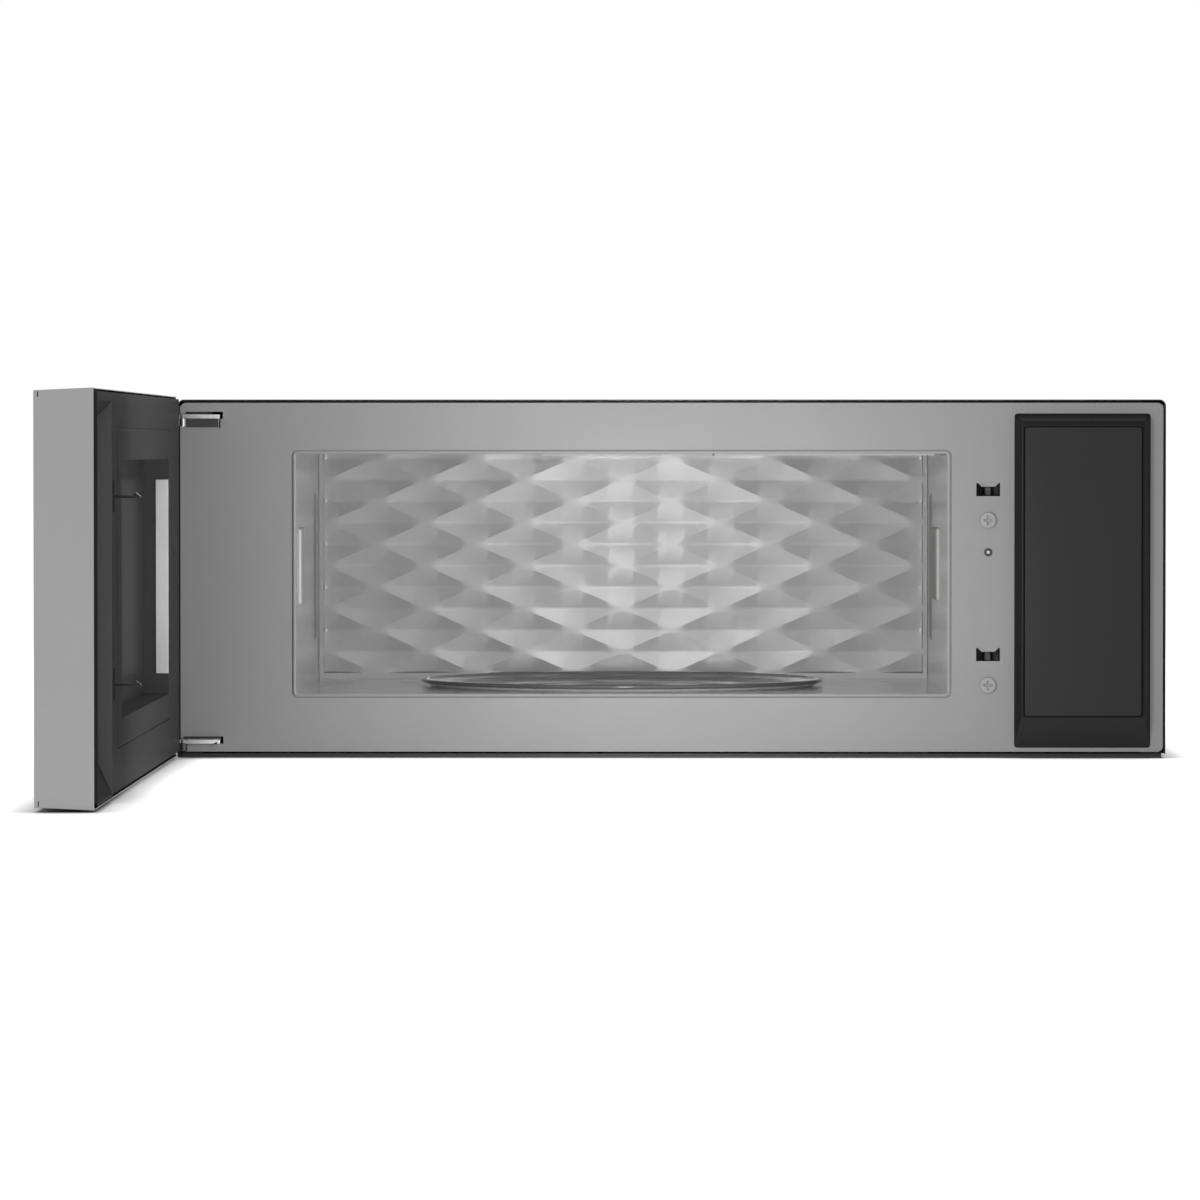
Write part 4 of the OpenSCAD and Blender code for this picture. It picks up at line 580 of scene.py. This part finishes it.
# Glass tray with two foot rings, a stepped border, a rolled rim and two shallow grooves
def tray():
    foot = [(0, 0.6), (40, 0.6), (42, 0), (46, 0), (48, 0.6), (134, 0.6), (136, 0), (138, 0)]
    underside = [(141.5, 0.2), (144.5, 1.5), (148, 3.6), (151.5, 5.2), (156.3, 7.0)]
    rim = [(158.8, 7.6), (159.7, 8.3), (160, 9.1), (159.6, 9.9), (158.6, 10.4), (157.3, 10.5),
           (156.1, 10.1), (155.0, 9.1)]
    border = [(152.5, 8.4), (148, 7.5), (144.4, 6.6), (141, 5.4), (138.2, 4.4), (135, 4.0)]
    plate = [(100, 4.0), (99, 3.7), (97, 3.7), (96, 4.0), (60, 4.0), (59, 3.7), (57, 3.7), (56, 4.0),
             (0, 4.0)]
    profile = foot + underside + rim + border + plate
    cx, cy, cz = TRAY
    steps = 144
    turns = [2 * math.pi * k / steps for k in range(steps)]
    bm = bmesh.new()
    hoop(bm, [[(cx + r * math.cos(a), cy + r * math.sin(a), cz + z) for r, z in profile] for a in turns])
    publish("glass_tray", bm, "tray_glass", "turntable", ("turntable_tray",), 50)


# Rounded corners where the cavity's side walls meet its back wall
def corner_fillets():
    bm = bmesh.new()
    r, steps, sunk = 5.0, 12, 0.3
    for x, side in ((CAV[0], 1), (CAV[1], -1)):
        outline = [(x - side * sunk, BACK_Y + sunk), (x - side * sunk, BACK_Y - r)]
        for k in range(steps + 1):
            a = math.radians(90 / steps * k)
            outline.append((x + side * (r - r * math.cos(a)), BACK_Y - r + r * math.sin(a)))
        outline.append((x + side * r, BACK_Y + sunk))
        loft(bm, [[(px, py, z) for px, py in outline] for z in (CAV[2], CAV[3])])
    publish("cavity_fillets", bm, "cavity_relief", "chassis", (), 50)


# Covers over the air inlet and the wave guide, with rounded edges
def wall_covers():
    for node, x, side in (("cavity_vent_cover", CAV[0], 1), ("waveguide_cover", CAV[1], -1)):
        (_, y0, z0), (_, y1, z1) = node_box(node)
        bm = bmesh.new()
        rings = []
        for out, d in ((-0.2, 0.0), (1.1, 0.0), (1.7, 0.25), (2.0, 0.9)):
            ring = rounded_rect(*inset((y0, y1, z0, z1), d), 2.5, 5)
            rings.append([(x + side * out, y, z) for y, z in ring])
        loft(bm, rings)
        publish(node + "_fine", bm, SLOT_OF[node], "chassis", (node,), 40)


# Raised bead round the cavity's mouth
def mouth_bead():
    bm = bmesh.new()
    profile = [(-0.2, 0.8), (-0.2, -0.5), (0.6, -0.9), (1.7, -0.9), (2.6, -0.3), (3.0, 0.05), (3.0, 0.8)]
    rings = []
    for out, back in profile:
        ring = rounded_rect(*inset(CAV, -out), 1.8 + out)
        rings.append([(x, FRONT_Y + back, z) for x, z in ring])
    hoop(bm, rings)
    publish("mouth_bead", bm, "face_grey", "chassis", (), 50)


# Down-turned lip in the top of each latch slot, with curled ends
def slot_lips():
    bm = bmesh.new()
    half_slot = 5.1
    outline = [(-9.1, 0.6), (-9.1, 0.0), (-7.6, -0.5), (-6.4, -1.6), (-5.2, -3.0), (5.2, -3.0),
               (6.4, -1.6), (7.6, -0.5), (9.1, 0.0), (9.1, 0.6)]
    for z in SLOT_ZS:
        rings = []
        for y, drop in ((0.05, 0.35), (0.0, 0.1), (0.3, 0.0), (0.9, 0.0), (1.2, 0.15)):
            rings.append([(SLOT_X + x, FRONT_Y + y, z + half_slot + dz + (drop if dz < 0 else 0))
                          for x, dz in outline])
        loft(bm, rings)
    publish("slot_lips", bm, "face_grey", "chassis", (), 40)


# Black seams where the door's end cap meets its folded long sides
def end_seams():
    bm = bmesh.new()
    end = along_door(node_box("door_skin")[0][1])
    for zs in ((3.9, 7.6), (272.2, 275.9)):
        door_block(bm, (end - 0.4, end + 0.03), (38.4, 39.3), zs)
    add_bevel(publish("end_seams", bm, "seam_black_and_painted_shade", "door"), 0.1, 1)


# Front glass with rounded edges, and the blank display on it
def front_glass():
    bm = bmesh.new()
    lo, hi = node_box("front_glass")
    pane = (along_door(hi[1]), along_door(lo[1]), lo[2], hi[2])
    rings = []
    for u, d in ((37.75, 0.0), (41.1, 0.0), (41.45, 0.15), (41.6, 0.5)):
        rings.append([door(x, u, z) for x, z in rounded_rect(*inset(pane, d), 3, 5)])
    loft(bm, rings)
    publish("front_glass_fine", bm, "door_glass", "door", ("front_glass",))
    bm = bmesh.new()
    display = rounded_rect(272, 340, 200.5, 226.5, 2, 4)
    loft(bm, [[door(x, u, z) for x, z in display] for u in (41.55, 41.64)])
    publish("display_window", bm, "display_dark", "door")


# Touch marks on the glass: rings round one to nine dots, and larger rings in the last row
def touch_marks():
    bm = bmesh.new()
    low, high = 41.58, 41.66
    line, dot_r, dot_gap = 0.5, 0.7, 2.4
    for row in range(5):
        for col in range(3):
            cx, cz = 283 + 23 * col, 175 - 25 * row
            r = 6.4 if row < 4 else 7.4
            outer, inner = circle(cx, cz, r, 28), circle(cx, cz, r - line, 28)
            rings = [[door(x, u, z) for x, z in ring] for u, ring in
                     ((low, outer), (high, outer), (high, inner), (low, inner), (low, outer))]
            loft(bm, rings, caps=False)
            dots = row * 3 + col + 1 if row < 3 else 1
            gap = dot_gap if dots > 1 else 0
            for d in range(dots):
                dot = circle(cx + (d % 3 - 1) * gap, cz + (1 - d // 3) * gap, dot_r, 8)
                loft(bm, [[door(x, u, z) for x, z in dot] for u in (low, high)])
    weld(bm)
    publish("touch_marks", bm, "print_grey", "door", (), 50)


# Crossed wires of each grease filter, seen through the openings of the base pan
def filter_wires():
    bm = bmesh.new()
    half_x, half_y, step = 64.0, 129.0, 6.4
    wire, shortest = 0.75, 3
    count = math.floor(2 * (half_x + half_y) / step) + 1
    for cx in (-250.0, 130.0):
        for sign, z in ((-1, 2.1), (1, 1.55)):
            for n in range(count):
                k = n * step - half_x - half_y
                mid = -k * sign
                lo, hi = max(-half_x, mid - half_y), min(half_x, mid + half_y)
                if hi - lo > shortest:
                    loft(bm, [[(cx + t, k + sign * t + w * wire, z + dz) for w, dz in
                               ((-1, -0.3), (1, -0.3), (0.6, 0.3), (-0.6, 0.3))] for t in (lo, hi)])
    publish("filter_wires", bm, "filter_mesh", "chassis", (), 20)


for make in (back_wall, bay, window_trims, window_step, painted_hinge_shade, slot_levers, top_hem, tray,
             corner_fillets, wall_covers, mouth_bead, slot_lips, end_seams, front_glass, touch_marks,
             filter_wires):
    make()

# CAD nodes that are shown with rounded edges, and the width of each edge
for name, width in (("case_top", 0.25), ("face_plate", 0.3), ("door_skin", 0.35), ("door_liner", 0.5),
                    ("hinge_bracket_upper", 0.6), ("hinge_bracket_lower", 0.6), ("latch_head", 0.3),
                    ("hinge_bushes", 0.3), ("base_pan", 0.3), ("door_plunger", 0.25),
                    ("plunger_sleeve", 0.2), ("cooktop_lens", 0.4), ("case_left_side", 0.25),
                    ("case_right_side", 0.25), ("back_panel", 0.25)):
    soften(name, width)
soften("latch_screws", 0.35, "latch_screw")


# Tests for second finishes, on faces whose light in the photo the first finish does not give
POCKET_GAP = 3
POCKET_WALL_Y = along_door(node_box("bay_housing")[0][0] - POCKET_GAP)


def on_pocket_wall(normal, place):
    """The wall of the liner's pocket for the bay housing, on the window's side, which gets a lighter finish that
    paints light on it.
    """
    return normal.y < -0.9 and abs(place.y - POCKET_WALL_Y) < 1


def in_skin_foot(normal, place):
    """The inside of the skin's lower fold, which gets the near-black finish that paints the shade under the door.
    """
    return normal.z > 0.4 and place.z < 5


# The lower bush, which gets the darker bush finish that paints its shade
def on_lower_bush(normal, place):
    return place.z < 100


def under_tray(normal, place):
    """The tray's underside, apart from the flat rings of its feet, which gets a lighter finish that paints the
    light coming through the glass.
    """
    return normal.z < -0.5 and place.z > TRAY[2] + 0.1


# The tray's rim, which gets the darker glass finish that paints the shade along its edge
def on_tray_rim(normal, place):
    return math.hypot(place.x - TRAY[0], place.y - TRAY[1]) > 156.5


# The bay's down-facing bevels, which get the lighter finish that paints light on them
def on_bay_chin(normal, place):
    return normal.z < -0.2 and normal.y < -0.1


# The bay's up-facing bevels, which get the darker finish that paints shade on them
def on_bay_brow(normal, place):
    return normal.z > 0.2 and normal.y < -0.1


for name, finish, chosen in (("door_liner_fine", "liner_wall_painted_light", on_pocket_wall),
                             ("door_skin_fine", "seam_black_and_painted_shade", in_skin_foot),
                             ("hinge_bushes_fine", "bush_painted_shade", on_lower_bush),
                             ("glass_tray", "tray_under_painted_light", under_tray),
                             ("glass_tray", "tray_rim_painted_shade", on_tray_rim),
                             ("bay_housing_fine", "bay_chin", on_bay_chin),
                             ("bay_housing_fine", "bay_brow_painted_shade", on_bay_brow)):
    refinish(name, finish, chosen)

# Each CAD node has its slot's finish, but the cavity's floor and well get a brighter finish, which paints light on
# them
for name, obj in frame["nodes"].items():
    obj.data.materials.clear()
    obj.data.materials.append(MAT[SLOT_OF[name]])
for name in ("cavity_floor", "floor_well"):
    frame["nodes"][name].data.materials[0] = MAT["cavity_base_painted_light"]


# Floor, lights and camera
def seen_by(tree, *rays):
    """A socket that is 1 for the kinds of ray that are named, and 0 for the others."""
    path = tree.nodes.new("ShaderNodeLightPath")
    seen = path.outputs[rays[0]]
    for ray in rays[1:]:
        seen = math_node(tree, "MAXIMUM", seen, path.outputs[ray])
    return seen


def pale_floor():
    """A floor that looks white, with the object's shadow and a dark line where they touch."""
    half = 14
    shadow_reach, shadow_power, glow_level = 0.022, 2.2, 0.78
    mat = bpy.data.materials.new("floor_pale")
    mat.use_nodes = True
    tree = mat.node_tree
    shader = tree.nodes["Principled BSDF"]
    shader.inputs["Base Color"].default_value = (0.86, 0.86, 0.86, 1)
    shader.inputs["Roughness"].default_value = 0.9
    shader.inputs["Specular IOR Level"].default_value = 0.1
    glow = add(tree, "ShaderNodeEmission", Color=(1, 1, 1, 1))
    near = add(tree, "ShaderNodeAmbientOcclusion", Distance=shadow_reach)
    near.samples = 8
    open_air = math_node(tree, "POWER", near.outputs["AO"], shadow_power)
    level = math_node(tree, "MULTIPLY", open_air, glow_level)
    seen = seen_by(tree, "Is Camera Ray", "Is Glossy Ray")
    tree.links.new(math_node(tree, "MULTIPLY", seen, level), glow.inputs["Strength"])
    both = tree.nodes.new("ShaderNodeAddShader")
    tree.links.new(shader.outputs[0], both.inputs[0])
    tree.links.new(glow.outputs[0], both.inputs[1])
    tree.links.new(both.outputs[0], tree.nodes["Material Output"].inputs["Surface"])
    mesh = bpy.data.meshes.new("floor")
    mesh.from_pydata([(-half, -half, 0), (half, -half, 0), (half, half, 0), (-half, half, 0)], [],
                     [(0, 1, 2, 3)])
    mesh.materials.append(mat)
    floor = bpy.data.objects.new("floor", mesh)
    bpy.context.scene.collection.objects.link(floor)


def studio_world():
    """White where it is seen, and much dimmer as a light."""
    world = bpy.data.worlds.new("studio")
    bpy.context.scene.world = world
    world.use_nodes = True
    tree = world.node_tree
    back = tree.nodes["Background"]
    level = add(tree, "ShaderNodeMapRange", To_Min=0.22, To_Max=1.0)
    seen = seen_by(tree, "Is Camera Ray", "Is Glossy Ray", "Is Transmission Ray")
    tree.links.new(seen, level.inputs["Value"])
    tree.links.new(level.outputs["Result"], back.inputs["Strength"])
    back.inputs["Color"].default_value = (1, 1, 1, 1)


def lamps():
    """A small lamp in front, for the highlight on the back wall, and large ones above and behind."""
    for name, place, aim, size, power in (
            ("front", (-0.02, -0.76, 0.15), (-0.02, 0.0, 0.15), (0.1, 0.2), 1.92),
            ("top", (0.1, 0.1, 2.2), (0.1, 0.1, 0.0), (2.4, 1.6), 14.0),
            ("rear", (0.0, 2.2, 1.3), (0.0, 0.0, 0.1), (2.2, 1.4), 16.0)):
        lamp = bpy.data.lights.new(name, "AREA")
        lamp.shape = "RECTANGLE"
        lamp.size, lamp.size_y = size
        lamp.energy = power
        holder = bpy.data.objects.new(name, lamp)
        holder.location = place
        holder.rotation_euler = (Vector(aim) - Vector(place)).to_track_quat("-Z", "Y").to_euler()
        bpy.context.scene.collection.objects.link(holder)


def photo_camera():
    """The photo's view, from 5 m in front of the face plate, with two small turns in degrees."""
    down, left = 1.327, 0.402
    lens = bpy.data.cameras.new("camera")
    lens.lens = 196.8
    lens.sensor_width = 36.0
    lens.clip_end = 60.0
    camera = bpy.data.objects.new("camera", lens)
    camera.location = (-0.0196, -5.253, 0.2387)
    camera.rotation_euler = (math.radians(90 - down), 0, math.radians(left))
    bpy.context.scene.collection.objects.link(camera)
    bpy.context.scene.camera = camera
    bpy.context.scene.view_settings.view_transform = "Standard"


pale_floor()
studio_world()
lamps()
photo_camera()
